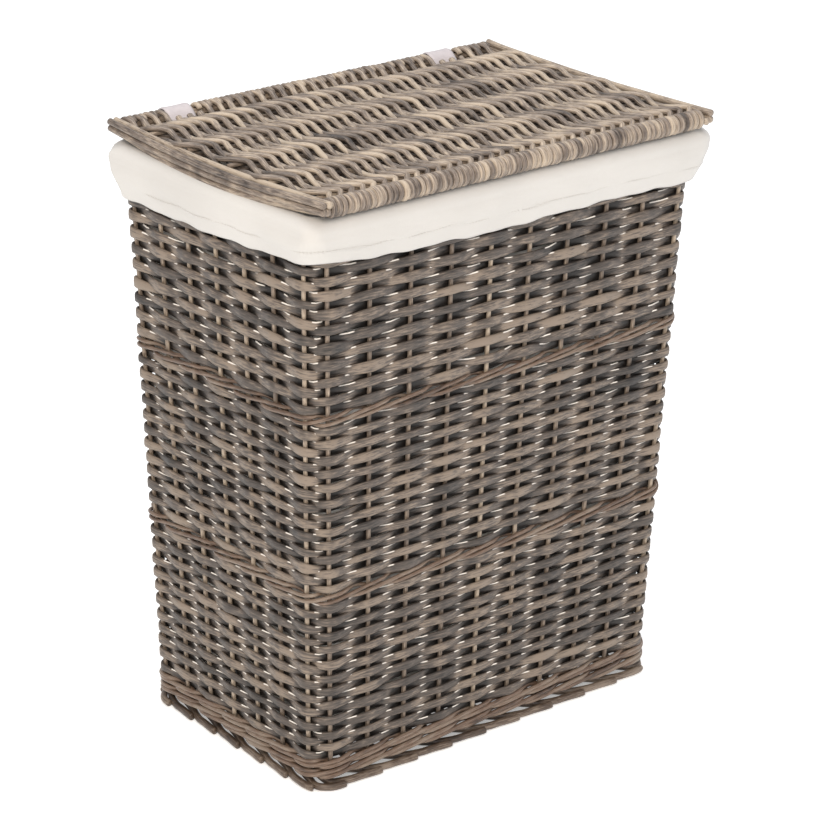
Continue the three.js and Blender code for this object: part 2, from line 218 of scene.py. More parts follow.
def mesh_object(name, points, faces, uv=None, attributes=None):
    """A mesh object from points, a list of face arrays (each with one number of corners) and corner UVs."""
    mesh = bpy.data.meshes.new(name)
    corners = np.concatenate([face.ravel() for face in faces]).astype(np.int32)
    counts = np.concatenate([np.full(len(face), face.shape[1]) for face in faces])
    starts = (np.cumsum(counts) - counts).astype(np.int32)
    mesh.vertices.add(len(points))
    mesh.vertices.foreach_set("co", points.astype(np.float32).ravel())
    mesh.loops.add(len(corners))
    mesh.loops.foreach_set("vertex_index", corners)
    mesh.polygons.add(len(starts))
    mesh.polygons.foreach_set("loop_start", starts)
    mesh.update(calc_edges=True)
    if uv is not None:
        layer = mesh.uv_layers.new(name="strand")
        pairs = np.concatenate([part.reshape(-1, 2) for part in uv])
        layer.data.foreach_set("uv", pairs.astype(np.float32).ravel())
    for label, values in (attributes or {}).items():
        layer = mesh.attributes.new(label, "FLOAT", "POINT")
        layer.data.foreach_set("value", values.astype(np.float32).ravel())
    mesh.shade_smooth()
    made = bpy.data.objects.new(name, mesh)
    bpy.context.scene.collection.objects.link(made)
    return made


def strands(centres, toward, half_across, half_up, sides=10, closed=False, square=1.0, tone=0.5, worn=0.0):
    """Oval strands along rows of centres, as arrays for mesh_object.

    For a section angle t, point = centre + across * a * c + up * b * s. Here c and s are cos t and sin t with
    their size raised to the power square, across is toward made square to the path, and up is across x path.
    """
    rows, steps = centres.shape[:2]
    if closed:
        path = unit(np.roll(centres, -1, axis=1) - np.roll(centres, 1, axis=1))
    else:
        path = unit(np.gradient(centres, axis=1))
    toward = np.broadcast_to(toward, centres.shape)
    across = unit(toward - np.sum(toward * path, axis=-1, keepdims=True) * path)
    up = np.cross(across, path)
    turn = np.arange(sides) * 2 * np.pi / sides
    cosine, sine = (np.sign(part) * np.abs(part) ** square for part in (np.cos(turn), np.sin(turn)))
    wide, tall = (np.broadcast_to(half, (rows, steps))[..., None, None] for half in (half_across, half_up))
    points = (
        centres[:, :, None]
        + across[:, :, None] * wide * cosine[:, None]
        + up[:, :, None] * tall * sine[:, None]
    )
    number = np.arange(rows * steps * sides).reshape(rows, steps, sides)
    ahead = np.roll(number, -1, axis=1) if closed else number[:, 1:]
    here = number if closed else number[:, :-1]
    faces = np.stack([here, ahead, np.roll(ahead, -1, axis=2), np.roll(here, -1, axis=2)], axis=-1)
    hops = np.linalg.norm(np.roll(centres, -1, axis=1) - centres, axis=-1)
    run = np.concatenate([np.zeros((rows, 1)), np.cumsum(hops, axis=1)], axis=1)
    run = run + np.arange(rows)[:, None] * GRAIN_SHIFT
    bays = here.shape[1]
    start, end = run[:, :bays, None], run[:, 1 : bays + 1, None]
    girth = 2 * np.pi * np.sqrt(wide * tall).mean()
    side, next_side = (np.arange(first, first + sides) / sides * girth for first in (0, 1))
    full = np.zeros(faces.shape[:3])
    corners = ((start, side), (end, side), (end, next_side), (start, next_side))
    uv = [np.stack([np.stack([full + u, full + v], axis=-1) for u, v in corners], axis=3)]
    parts = [faces.reshape(-1, 4)]
    if not closed:
        parts.append(np.concatenate([number[:, 0], number[:, -1, ::-1]]))
        uv.append(np.zeros((2 * rows, sides, 2)))
    # Per-point attributes: the tone, and the mask of the painted glint, a painted highlight that is nothing
    # unless given.
    values = {
        label: np.broadcast_to(np.asarray(value, float)[..., None], number.shape)
        for label, value in (("tone", tone), ("worn", worn))
    }
    return points.reshape(-1, 3), parts, uv, values


def joined(name, bundles):
    """One object from several results of strands."""
    offsets = np.cumsum([0] + [len(points) for points, *_ in bundles])
    points = np.concatenate([points for points, *_ in bundles])
    faces, uv = [], []
    for (_, parts, coordinates, _), offset in zip(bundles, offsets):
        faces += [part + offset for part in parts]
        uv += coordinates
    labels = bundles[0][3]
    values = {label: np.concatenate([bundle[3][label].ravel() for bundle in bundles]) for label in labels}
    return mesh_object(name, points, faces, uv, values)


def rounded_ends(steps, reach=0.12):
    """A scale that falls to nearly nothing at both ends, as a quarter circle does, for strands that stop."""
    x = np.linspace(0, 1, steps)
    near = np.minimum(x, 1 - x) / reach
    return np.sqrt(np.clip(1 - (1 - np.clip(near, 0, 1)) ** 2, 0.04, 1))


def ring(s, half_x, half_y, reach):
    """Point and outward direction at a distance s round a rounded rectangle, from its front's middle.

    The distance is spent on the front's right half, a corner, the right side, and so on. What is spent on
    sides moves a centre round the rectangle of the corners' centres. What is spent on corners, over reach, is
    the turn of the outward direction (sin turn, -cos turn), and point = centre + reach * outward.
    """
    s, half_x, half_y, reach = np.broadcast_arrays(s, half_x, half_y, reach)
    lengths = side_lengths(half_x, half_y, reach)
    ends = np.cumsum(lengths, axis=0)
    spent = np.clip(np.mod(s, ends[-1]) - (ends - lengths), 0, lengths)
    turn = spent[1::2].sum(axis=0) / reach
    level = np.zeros_like(turn)
    outward = np.stack([np.sin(turn), -np.cos(turn), level], axis=-1)
    centre = np.stack([spent[0] - spent[4] + spent[8], spent[2] - spent[6] - half_y, level], axis=-1)
    return centre + outward * reach[..., None], outward


def side_lengths(half_x, half_y, reach):
    """Lengths of a rounded rectangle's sides and corners in turn, from its front's middle."""
    arc = np.pi / 2 * reach
    return np.stack([half_x, arc, 2 * half_y, arc, 2 * half_x, arc, 2 * half_y, arc, half_x])


def ring_breaks(half_x, half_y, reach):
    """Distances round a rounded rectangle at which its sides and corners start and end."""
    return np.concatenate([[0], np.cumsum(side_lengths(half_x, half_y, reach))])


def stake_line():
    """Reach of the stakes from the wall's corner centre."""
    wall = settings().wall
    return wall.corner - wall.wall / 2


def stake_stations(z):
    """Distances round the stake line at heights z of all stakes, from the first right of the middle."""
    wall = settings().wall
    z = np.asarray(z, float)[..., None]
    reach = stake_line()
    half_x, half_y = (half - wall.corner for half in wall_half(z))
    near = reach * math.sin(wall.corner_turn)
    arc = np.pi / 2 * reach
    long_share = 2 * np.arange(1, LONG_STAKES + 1) / (LONG_STAKES + 1) - 1
    short_share = 2 * np.arange(1, SHORT_STAKES + 1) / (SHORT_STAKES + 1) - 1
    turns = reach * np.array([wall.corner_turn, np.pi / 2 - wall.corner_turn])
    right = half_x + arc
    back = right + 2 * half_y + arc
    left = back + 2 * half_x + arc
    front = left + 2 * half_y + arc
    rights = long_share[LONG_STAKES // 2 :]
    lefts = long_share[: LONG_STAKES // 2]
    return np.concatenate(
        [
            rights * (half_x + near),
            half_x + turns,
            right + half_y + short_share * (half_y + near),
            right + 2 * half_y + turns,
            back + half_x + long_share * (half_x + near),
            back + 2 * half_x + turns,
            left + half_y + short_share * (half_y + near),
            left + 2 * half_y + turns,
            front + half_x + lefts * (half_x + near),
        ],
        axis=-1,
    )


def along_stakes(u, z):
    """Point and outward direction on the stake line at height z and stake number u, whole or not."""
    u, z = np.broadcast_arrays(u, z)
    half_x, half_y = (half - settings().wall.corner for half in wall_half(z))
    reach = stake_line()
    perimeter = 4 * half_x + 4 * half_y + 2 * np.pi * reach
    places = stake_stations(z)
    number = np.floor(u).astype(int) % STAKES
    after = (number + 1) % STAKES
    start = np.take_along_axis(places, number[..., None], axis=-1)[..., 0]
    end = np.take_along_axis(places, after[..., None], axis=-1)[..., 0]
    end = np.where(after == 0, end + perimeter, end)
    point, outward = ring(start + (end - start) * (u - np.floor(u)), half_x, half_y, reach)
    point[..., 2] = z
    return point, outward


def rim_line():
    """The rim roll's centre line (corner centre, corner radius, height) and the roll's radius."""
    box_low, box_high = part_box("rim_border")
    radius = (box_high.z - box_low.z) / 2
    corner = settings().wall.rim_corner
    middle = (box_high.z + box_low.z) / 2
    return box_high.x - radius - corner, box_high.y - radius - corner, corner, middle, radius


def wander(rng, rows, knots, samples, size):
    """Smooth random values: one per knot and row, blended between knots, repeating after the last knot."""
    values = rng.normal(0, 1, (rows, knots)) * size
    at = np.arange(samples) / samples * knots
    number = np.floor(at).astype(int)
    share = smooth(at - number)
    return values[:, number % knots] * (1 - share) + values[:, (number + 1) % knots] * share


# ---- The wall ---------------------------------------------------------------------------------------------

STRAP_NODES = ("hinge_strap_left", "hinge_strap_right")
# On either side of a strap, in the cuff.
SLOT_ROOM = 2 * MM
# How far down the wall's top rows make room for a strap that turns, and by how much the highest moves.
DIP_REACH = 60 * MM
DIP = 12.5 * MM


def strap_dip(point, z):
    """How far rows are pressed down below each strap: 1 at the wall's top, 0 from DIP_REACH below it."""
    top = high("weave_upper").z
    beside = np.zeros_like(z)
    for node in STRAP_NODES:
        middle = (low(node).x + high(node).x) / 2
        half = (high(node).x - low(node).x) / 2
        near = smooth(1.9 - np.abs(point[..., 0] - middle) / half * 0.8)
        beside = np.maximum(beside, near * (point[..., 1] > 0))
    return beside * np.clip((z - (top - DIP_REACH)) / DIP_REACH, 0, 1) ** 1.5


def weave_band(node, row, rng, first_row):
    """One band of plain weave: every row is a closed loop that passes outside one stake and inside the next.

    With f the share of the way from one stake to the next, swing = 0.3 cos(pi f) + 0.7 (1 - 2 f), so a strand
    bends sharply at a stake; its sign changes from row to row and from stake to stake. Outward offset =
    (wall - strand) / 2 * swing, and the height rises by the arch as the strand comes to the outside.
    """
    wall = settings().wall
    bottom, top = low(node).z, high(node).z
    rows = round((top - bottom) / row)
    per_stake = 10
    samples = STAKES * per_stake
    u = np.arange(samples) / per_stake
    share = u - np.floor(u)
    swing = 0.3 * np.cos(np.pi * share) + 0.7 * (1 - 2 * share)
    sign = 1 - 2 * ((np.floor(u).astype(int)[None] + np.arange(rows)[:, None] + first_row) % 2)
    wave = sign * swing[None]
    pitch = (top - bottom) / rows
    z = bottom + (np.arange(rows)[:, None] + 0.5) * pitch
    z = z + wander(rng, rows, STAKES, samples, 0.75 * MM) + wander(rng, rows, 7, samples, 0.6 * MM)
    z = z + wall.arch * wave
    z = np.clip(z, bottom + 0.4 * pitch, top - 0.4 * pitch)
    point, outward = along_stakes(np.broadcast_to(u, z.shape), z)
    amplitude = (wall.wall - wall.strand) / 2 + wander(rng, rows, STAKES, samples, 0.35 * MM)
    point = point + outward * (amplitude * wave)[..., None]
    dip = strap_dip(point, z)
    point[..., 2] -= dip * DIP
    inside = np.clip(-wave, 0, 1)
    outside = np.clip(wave, 0, 1)
    height = wall.strand_height / 2 * pitch / wall.row * (0.82 + 0.16 * outside + 0.42 * inside)
    height = height * (1 + wander(rng, rows, STAKES, samples, 0.1)) * (1 - 0.35 * dip)
    thick = wall.strand / 2 * (1 + wander(rng, rows, STAKES, samples, 0.08))
    # Painted shade: the tone is darker where a strand passes inside a stake, into the recess behind it.
    tone = 0.5 + wander(rng, rows, 5, samples, 0.12) + wander(rng, rows, STAKES, samples, 0.15) - 1.0 * inside
    # Painted highlight: a glint mask near each crossing between two stakes, of random strength at each
    # crossing; past a threshold the strand's upper edge is drawn nearly white there.
    glint_strength = np.repeat(rng.uniform(0.35, 1.1, (rows, STAKES)), per_stake, axis=1)
    worn = np.clip(1.15 - np.abs(wave + 0.1) * 1.5, 0, 1) * glint_strength
    return strands(point, outward, thick, height, closed=True, square=0.75, tone=tone, worn=worn)


def wale_loops(bottom, top, rod, lift, rng, turn=0.0):
    """A band of three-rod waling: one rod that goes round three times.

    A stroke passes three stakes. The rod is outside for two thirds of it, rises by lift as it goes, and drops
    back behind the third stake.
    """
    wall = settings().wall
    per_stake = 8
    samples = 3 * STAKES * per_stake
    u = np.arange(samples) / per_stake
    phase = np.mod((u + 0.5 + turn) / 3, 1)
    middle = (bottom + top) / 2
    outside = np.tanh(3 * (np.cos(2 * np.pi * (phase - 1 / 3)) + 0.5))
    rise = np.where(phase < 2 / 3, -np.cos(1.5 * np.pi * phase), np.cos(3 * np.pi * (phase - 2 / 3)))
    z = middle + lift / 2 * rise + wander(rng, 1, 3 * STAKES, samples, 0.25 * MM)[0]
    point, outward = along_stakes(u, np.full_like(z, middle))
    point[..., 2] = z
    reach = (wall.wall - rod) / 2 + wander(rng, 1, 3 * STAKES, samples, 0.2 * MM)[0]
    point = point + outward * (outside * reach)[..., None]
    tone = 0.5 + wander(rng, 1, 3 * STAKES, samples, 0.16)
    width = rod / 2 * (1 + wander(rng, 1, 3 * STAKES, samples, 0.07))
    return strands(point[None], outward[None], width, width * 1.08, 8, True, tone=tone)


def foot_rods(rng):
    """The foot border: one rod for each stake. It starts inside the waling, slants down to the floor past the
    next stake, comes to the outside and is cut off after the one beyond.

    With t from 0 to 1 along the rod, the height blends from the waling to the floor over its first half. The
    outward offset blends from inside to outside between t = 0.35 and 0.7, so that a rod passes outside the
    next one's start.
    """
    wall = settings().wall
    rod = wall.foot_rod
    samples = 26
    t = 0.5 - 0.5 * np.cos(np.pi * np.linspace(0, 1, samples))
    u = np.arange(STAKES)[:, None] + 0.1 + t[None] * 2.2
    lowest = rod / 2
    start = low("waling_base").z + 3 * MM
    z = start + (lowest - start) * smooth(t / 0.5)
    z = z[None] + np.abs(rng.normal(0, 0.5 * MM, (STAKES, 1))) * np.sin(np.pi * t)[None]
    inside, outside = -4.6 * MM, 2.6 * MM
    offset = inside + (outside - inside) * smooth((t - 0.35) / 0.35) + 2.5 * MM * smooth((t - 0.7) / 0.3)
    point, outward = along_stakes(u, np.full_like(u, high("foot_border").z / 2))
    point[..., 2] = z
    point = point + outward * offset[None, :, None]
    size = rod / 2 * rounded_ends(samples, 0.04)[None] * (1 + rng.normal(0, 0.04, (STAKES, 1)))
    size = np.minimum(size, lowest)
    # Painted shade: a rod is darker over its first half, where it starts inside and behind the waling.
    tone = 0.5 + rng.normal(0, 0.15, (STAKES, 1)) - 0.5 * (1 - smooth(t / 0.5))[None]
    return strands(point, outward, size, size, tone=tone)


def stake_rods(numbers, tops, rng):
    """Round stakes on straight lines between their places at the foot and at the top, thinner at the top."""
    wall = settings().wall
    samples = 12
    t = np.linspace(0, 1, samples)
    foot = high("foot_border").z
    z = foot + (np.asarray(tops)[:, None] - foot) * t[None]
    point, outward = along_stakes(np.broadcast_to(np.asarray(numbers, float)[:, None], z.shape), z)
    size = wall.stake / 2 * (1.0 - 0.06 * t[None]) * (1 + rng.normal(0, 0.02, z.shape))
    tone = 0.5 + rng.normal(0, 0.18, (len(numbers), 1)) + np.zeros_like(z)
    return strands(point, outward, size, size, tone=tone)


def stake_order():
    """Names of the stakes in the order in which they stand, from the first right of the front's middle."""
    front, back = nodes_named("stake_front"), nodes_named("stake_back")
    left, right = nodes_named("stake_left"), nodes_named("stake_right")
    corner = nodes_named("corner_stake")
    half = LONG_STAKES // 2
    return (
        front[half:] + corner[2:4] + right + [corner[5], corner[4]] + back[::-1] + corner[6:8] + left[::-1]
        + [corner[1], corner[0]] + front[:half]
    )


def rim_rods(rng):
    """The rim: four rods twisted round the roll's centre line, which is a rounded rectangle."""
    wall = settings().wall
    half_x, half_y, corner, middle, radius = rim_line()
    perimeter = ring_breaks(half_x, half_y, corner)[-1]
    samples, rods, twists = 340, 4, 18
    s = np.arange(samples) / samples * perimeter
    point, outward = ring(s, half_x, half_y, corner)
    off = radius - wall.rim_rod / 2
    turn = 2 * np.pi * ((twists * s / perimeter)[None] + (np.arange(rods) / rods)[:, None])
    centres = point[None] + outward[None] * (off * np.cos(turn))[..., None]
    centres[..., 2] = middle + off * np.sin(turn)
    tone = 0.5 + wander(rng, rods, 30, samples, 0.15)
    return strands(centres, outward[None], wall.rim_rod / 2, wall.rim_rod / 2, 8, True, tone=tone)


def base_strands(rng):
    """The woven bottom: flat strands from front to back, over one base stick and under the next.

    Height = middle +- (thickness - strand) / 2 * cos(pi k), with k the number of sticks passed.
    """
    wall = settings().wall
    box_low, box_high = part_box("base_weave")
    sticks = [(low(name).y + high(name).y) / 2 for name in nodes_named("base_stick")]
    spacing = sticks[1] - sticks[0]
    middle = (box_low.z + box_high.z) / 2
    span = 2 * (box_high.x - wall.strand)
    count = round(span / wall.row)
    samples = 40
    t = np.linspace(0, 1, samples)
    x = -span / 2 + (np.arange(count)[:, None] + 0.5) * span / count
    corner = wall.corner - wall.wall
    past = np.clip(np.abs(x) - (box_high.x - corner), 0, corner)
    half = box_high.y - corner + np.sqrt(corner**2 - past**2) - 1 * MM
    y = half * (2 * t[None] - 1)
    sign = 1 - 2 * (np.arange(count)[:, None] % 2)
    depth = (box_high.z - box_low.z - wall.strand) / 2
    z = middle + sign * depth * np.cos(np.pi * (y - sticks[0]) / spacing)
    centres = np.stack([x + np.zeros_like(y), y, z], axis=-1)
    height = wall.row / 2 * 0.97 * rounded_ends(samples, 0.03)[None] * (1 + rng.normal(0, 0.03, (count, 1)))
    tone = 0.5 + rng.normal(0, 0.15, (count, 1)) + np.zeros_like(y)
    toward = np.array([0.0, 0.0, 1.0])
    return strands(centres, toward, wall.strand / 2, height, 8, square=0.8, tone=tone)


def straight_rods(names, half, rng, rise=0.0):
    """Round rods along X through the middles of CAD nodes, raised by rise."""
    samples = 24
    rows = []
    for name in names:
        box_low, box_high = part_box(name)
        middle = (box_low + box_high) / 2
        x = np.linspace(box_low.x, box_high.x, samples)
        rows.append(np.stack([x, np.full(samples, middle.y), np.full(samples, middle.z)], axis=-1))
    centres = np.array(rows)
    centres[..., 2] += rise
    tone = 0.5 + rng.normal(0, 0.15, (len(names), 1)) + np.zeros(centres.shape[:2])
    toward = np.array([0.0, 0.0, 1.0])
    return strands(centres, toward, half, half, tone=tone)


# ---- The lid ----------------------------------------------------------------------------------------------


def lid_stick_places():
    """Y of every lid stick, from back to front."""
    names = ["lid_stick_back"] + nodes_named("lid_stick") + ["lid_stick_front"]
    return [(low(name).y + high(name).y) / 2 for name in names]


def lid_weavers(rng):
    """Round weavers from the back edge to the front edge, over one stick and under the next.

    They are wrapped round both edge sticks.

    Between two sticks height = middle +- lift * c * |c|^0.7, with c = cos(pi f) and f the share of the way.
    Sideways, a weaver moves by its drift as a sine across each stick, and leans back evenly in the bay
    between two sticks. Where a strap goes through, the weavers stop in front of it.
    """
    lid = settings().lid
    box_low, box_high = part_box("lid_weave")
    places = lid_stick_places()
    middle = (box_low.z + box_high.z) / 2
    edge_lift = (box_high.z - box_low.z) / 2 - lid.weaver_height / 2 - 0.3 * MM
    span = box_high.x - box_low.x - lid.weaver
    count = 2 * round(span / lid.pitch / 2)
    x = np.linspace(-span / 2, span / 2, count)[:, None]
    sign = 1 - 2 * (np.arange(count)[:, None] % 2)
    per_bay, wrap, near = 16, 10, 0.19
    ys, waves, inner, leans = [], [], [], []
    angle = np.linspace(-1.3, 0, wrap, endpoint=False) * np.pi
    ys.append(places[0] - edge_lift * np.sin(angle))
    waves.append(np.cos(angle) * sign)
    inner.append(np.zeros(wrap))
    leans.append(np.zeros((count, wrap)))
    share = np.arange(per_bay) / per_bay
    edge_drift = (lid.drift_over + lid.drift_under) / 8
    for i in range(len(places) - 1):
        first, final = i == 0, i == len(places) - 2
        facing = sign * (-1) ** i
        ys.append(places[i] - (places[i] - places[i + 1]) * share)
        swing = np.cos(np.pi * share)
        waves.append(swing * np.abs(swing) ** 0.7 * facing)
        inner.append(smooth(share) if first else 1 - smooth(share) if final else np.ones(per_bay))
        half_here = np.where(facing > 0, lid.drift_over, lid.drift_under) / 2
        half_next = np.where(facing < 0, lid.drift_over, lid.drift_under) / 2
        if first:
            half_here = np.full_like(half_here, edge_drift)
        if final:
            half_next = np.full_like(half_next, edge_drift)
        leave = half_here * np.sin(np.pi / 2 * np.clip(share / near, 0, 1))
        across = np.clip((share - near) / (1 - 2 * near), 0, 1) * (half_here + half_next)
        arrive = half_next * (1 - np.sin(np.pi / 2 * np.clip((1 - share) / near, 0, 1)))
        leans.append(leave - across + arrive)
    last = sign * (-1) ** (len(places) - 1)
    angle = np.linspace(0, 1.3, wrap) * np.pi
    ys.append(places[-1] - edge_lift * np.sin(angle))
    waves.append(np.cos(angle) * last)
    inner.append(np.zeros(wrap))
    leans.append(np.zeros((count, wrap)))
    y = np.concatenate(ys)[None]
    wave = np.concatenate(waves, axis=1)
    inner = np.concatenate(inner)[None]
    samples = y.shape[1]
    knots = 14
    x = x + np.concatenate(leans, axis=1) + wander(rng, count, knots, samples, 0.45 * MM)
    lift = edge_lift + (lid.lift - edge_lift) * inner
    z = middle + lid.rise * inner + lift * wave + wander(rng, count, knots, samples, 0.2 * MM)
    centres = np.stack([x, y + np.zeros_like(x), z], axis=-1)
    vary = 1 + wander(rng, count, knots, samples, 0.06)
    wide = lid.weaver / 2 * vary * (1 + 0.14 * np.clip(wave, 0, 1) * inner)
    tall = lid.weaver_height / 2 * vary
    tone = 0.5 + rng.normal(0, 0.15, (count, 1)) + wander(rng, count, knots, samples, 0.12)
    # Painted shade: a weaver is darker where it dips under a stick.
    tone = tone - 0.45 * np.clip(-wave, 0, 1) * inner
    toward = np.array([1.0, 0.0, 0.0])
    held = np.zeros(count, bool)
    for node in STRAP_NODES:
        room = lid.weaver / 2
        held |= (x[:, wrap] > low(node).x - room) & (x[:, wrap] < high(node).x + room)
    past_strap = wrap + 5
    bundles = []
    for rows, steps in ((~held, slice(None)), (held, slice(past_strap, None))):
        centre, half_wide, half_tall, shade = (part[rows][:, steps] for part in (centres, wide, tall, tone))
        bundles.append(strands(centre, toward, half_wide, half_tall, tone=shade))
    return bundles


def lid_stick_rods(rng):
    """The sticks inside the lid: the two edge sticks thick and at its middle height, the others thinner and
    raised to the height of the weavers' middle."""
    lid = settings().lid
    names = ["lid_stick_back"] + nodes_named("lid_stick") + ["lid_stick_front"]
    is_inner = np.array([name not in ("lid_stick_back", "lid_stick_front") for name in names])[:, None]
    half = np.where(is_inner, lid.inner_stick, lid.stick) / 2
    return straight_rods(names, half, rng, is_inner * lid.rise), names


def lid_border_rods(node, rng):
    """The rods of a short edge, touching: one along the top, two below it that part at the middle, and one
    behind. All of them sag and stand out by a share of sin(pi t)."""
    lid = settings().lid
    box_low, box_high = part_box(node)
    side = 1 if box_low.x > 0 else -1
    outer = max(abs(box_low.x), abs(box_high.x))
    rod = lid.border_rod
    samples = 30
    t = 0.5 - 0.5 * np.cos(np.pi * np.linspace(0, 1, samples))
    belly = np.sin(np.pi * t)
    y = box_high.y - 1 * MM + (box_low.y - box_high.y + 2 * MM) * t
    top = box_high.z - rod / 2 - 1 * MM
    # For each rod: how far below the top one at its ends and at its middle and how far inwards, in rods, and
    # its share of the sag and the bow.
    levels = [(0.0, 0.0, 0.0, 1.0), (0.9, 0.92, 0.12, 1.0), (1.0, 1.85, 0.75, 1.25), (0.1, 0.35, 1.0, 0.55)]
    rows = []
    for end_drop, drop, inward, share in levels[: 4 if side < 0 else 3]:
        z = top - rod * (end_drop + (drop - end_drop) * belly) - lid.sag * share * belly
        reach = outer - rod * 0.5 - rod * inward * (1 - 0.6 * belly * (inward < 1)) + lid.bow * share * belly
        rows.append(np.stack([side * reach, y, z], axis=-1))
    centres = np.array(rows)
    centres[..., 0] += wander(rng, len(rows), 5, samples, 0.35 * MM)
    centres[..., 2] += wander(rng, len(rows), 5, samples, 0.35 * MM)
    vary = 1 + rng.normal(0, 0.05, (len(rows), 1)) + wander(rng, len(rows), 6, samples, 0.04)
    size = rod / 2 * rounded_ends(samples, 0.008)[None] * vary
    tone = 0.5 + rng.normal(0, 0.15, (len(rows), 1)) + wander(rng, len(rows), 6, samples, 0.12)
    toward = np.array([float(side), 0.0, 0.0])
    if side > 0:
        centres = centres[:, ::-1]
    return strands(centres, toward, size, size, tone=tone)


# ---- The liner --------------------------------------------------------------------------------------------


def grid_faces(rows, columns):
    """Quads of a grid of points, rows by columns, closed from the last column to the first."""
    number = np.arange(rows * columns).reshape(rows, columns)
    ahead = np.roll(number, -1, axis=1)
    return np.stack([number[:-1], number[1:], ahead[1:], ahead[:-1]], axis=-1).reshape(-1, 4)


def sheet_object(name, points, keep=None, pole=None):
    """A cloth surface that goes all round, from a grid of points, with UVs in metres along columns and rows.

    keep chooses faces by their centres, and pole closes the last row.
    """
    rows, columns = points.shape[:2]
    faces = grid_faces(rows, columns)
    across = np.linalg.norm(np.roll(points, -1, axis=1) - points, axis=-1).mean(axis=0)
    down = np.linalg.norm(np.diff(points, axis=0), axis=-1).mean(axis=1)
    u = np.concatenate([[0], np.cumsum(across)])
    v = np.concatenate([[0], np.cumsum(down)])
    row, column = np.meshgrid(np.arange(rows - 1), np.arange(columns), indexing="ij")
    steps = ((0, 0), (1, 0), (1, 1), (0, 1))
    corners = [np.stack([u[column + right], v[row + down_one]], axis=-1) for down_one, right in steps]
    uv = np.stack(corners, axis=2).reshape(-1, 4, 2)
    flat = points.reshape(-1, 3)
    parts, layers = [faces], [uv]
    if keep is not None:
        kept = keep(flat[faces].mean(axis=1))
        parts, layers = [faces[kept]], [uv[kept]]
    if pole is not None:
        last = (rows - 1) * columns + np.arange(columns)
        flat = np.concatenate([flat, [pole]])
        parts.append(np.stack([last, np.full(columns, len(flat) - 1), np.roll(last, -1)], axis=-1))
        edge = np.stack([u[:-1], np.full(columns, v[-1])], axis=-1)
        tip = np.stack([u[:-1], np.full(columns, v[-1] + 0.01)], axis=-1)
        layers.append(np.stack([edge, tip, np.roll(edge, -1, axis=0)], axis=1))
    return mesh_object(name, flat, parts, layers)


def thicken(piece, thickness):
    """Gives a cloth surface its thickness, half of it on either side."""
    solid = piece.modifiers.new("cloth", "SOLIDIFY")
    solid.thickness = thickness
    solid.offset = 0
    solid.use_even_offset = False


def folds(s, t, perimeter, seed):
    """Soft creases from 0 to 1: long waves round the cloth times short ones down it, with seeded phases."""
    rng = np.random.default_rng(seed)
    total = np.zeros(np.broadcast(s, t).shape)
    for count, drift, weight in ((7, 1.3, 0.5), (13, -2.1, 0.35), (23, 3.7, 0.2), (41, -5.0, 0.1)):
        phase = rng.uniform(0, 2 * np.pi, 2)
        along = np.sin(2 * np.pi * count * s / perimeter + drift * t * 3 + phase[0])
        total = total + weight * along * np.cos(drift * t * 4 + phase[1])
    return 0.5 + 0.5 * np.tanh(total * 1.4)


def cuff_surface():
    """The cuff: from the inner side of the rim over its roll, then down to the hem on the weave.

    Round the roll reach = corner + radius * cos a and height = middle + radius * sin a, and the corners grow
    sharper as a falls. Below it both run straight to the hem, with a slight swell at the front and the sides.
    The hem's height waves by a few millimetres, and rises at the front left corner.
    """
    half_x, half_y, corner, middle, _ = rim_line()
    liner = settings().liner
    radius = high("liner_cuff").z - middle - 0.6 * MM
    hem_z = low("liner_cuff").z
    hem_reach = liner.hem_corner
    hem_x, hem_y = (half + 1.3 * MM - hem_reach for half in wall_half(hem_z))
    columns, turn_steps, fall_steps = 640, 14, 22
    share = np.arange(columns) / columns
    breaks = ring_breaks(half_x, half_y, corner)
    perimeter = breaks[-1]
    s = share * perimeter
    breaks = breaks / perimeter
    _, outward = ring(s, half_x, half_y, corner)
    hem, _ = ring(np.interp(share, breaks, ring_breaks(hem_x, hem_y, hem_reach)), hem_x, hem_y, hem_reach)
    rows = []
    for a in np.linspace(np.pi, -0.25, turn_steps):
        reach = corner + radius * math.cos(a)
        sharp = float(smooth((np.pi * 0.55 - a) / 1.3))
        kept = reach + (liner.cuff_corner - reach) * sharp
        wide_x, wide_y = half_x + reach - kept, half_y + reach - kept
        point, away = ring(np.interp(share, breaks, ring_breaks(wide_x, wide_y, kept)), wide_x, wide_y, kept)
        back_corners = np.abs(away[..., 0] * away[..., 1]) * (away[..., 1] > 0)
        point = point - away * (10 * MM * sharp * back_corners)[..., None]
        point[..., 2] = middle + radius * math.sin(a)
        rows.append(point)
    start = rows[-1]
    back = smooth(outward[..., 1] * 1.5)
    wave = folds(s, np.zeros(columns), perimeter, 5) - 0.5
    from_corner = np.linalg.norm(hem[..., :2] + np.array([hem_x, hem_y]) + hem_reach, axis=-1)
    rise = 9 * MM * np.exp(-((from_corner / (75 * MM)) ** 2))
    hem[..., 2] = hem_z + wave * 7 * MM + 1.5 * MM + rise
    for t in np.linspace(0, 1, fall_steps + 1)[1:]:
        puff = 2.2 * MM * math.sin(math.pi * t**0.8) * (0.5 + folds(s, t * 0.6, perimeter, 8)) * (1 - back)
        tuck = 3 * MM * math.sin(math.pi * t**0.7) * back
        rows.append(start * (1 - t) + hem * t + outward * (puff - tuck)[..., None])
    points = np.array(rows)
    for node in STRAP_NODES:
        snap_to_slot(points, node)
    return points


def snap_to_slot(points, node):
    """Moves the two columns nearest to a strap's slot onto its edges."""
    back = points[0, :, 1] > 0
    for edge in (low(node).x - SLOT_ROOM, high(node).x + SLOT_ROOM):
        distance = np.where(back, np.abs(points[-1, :, 0] - edge), 1)
        points[:, np.argmin(distance), 0] = edge


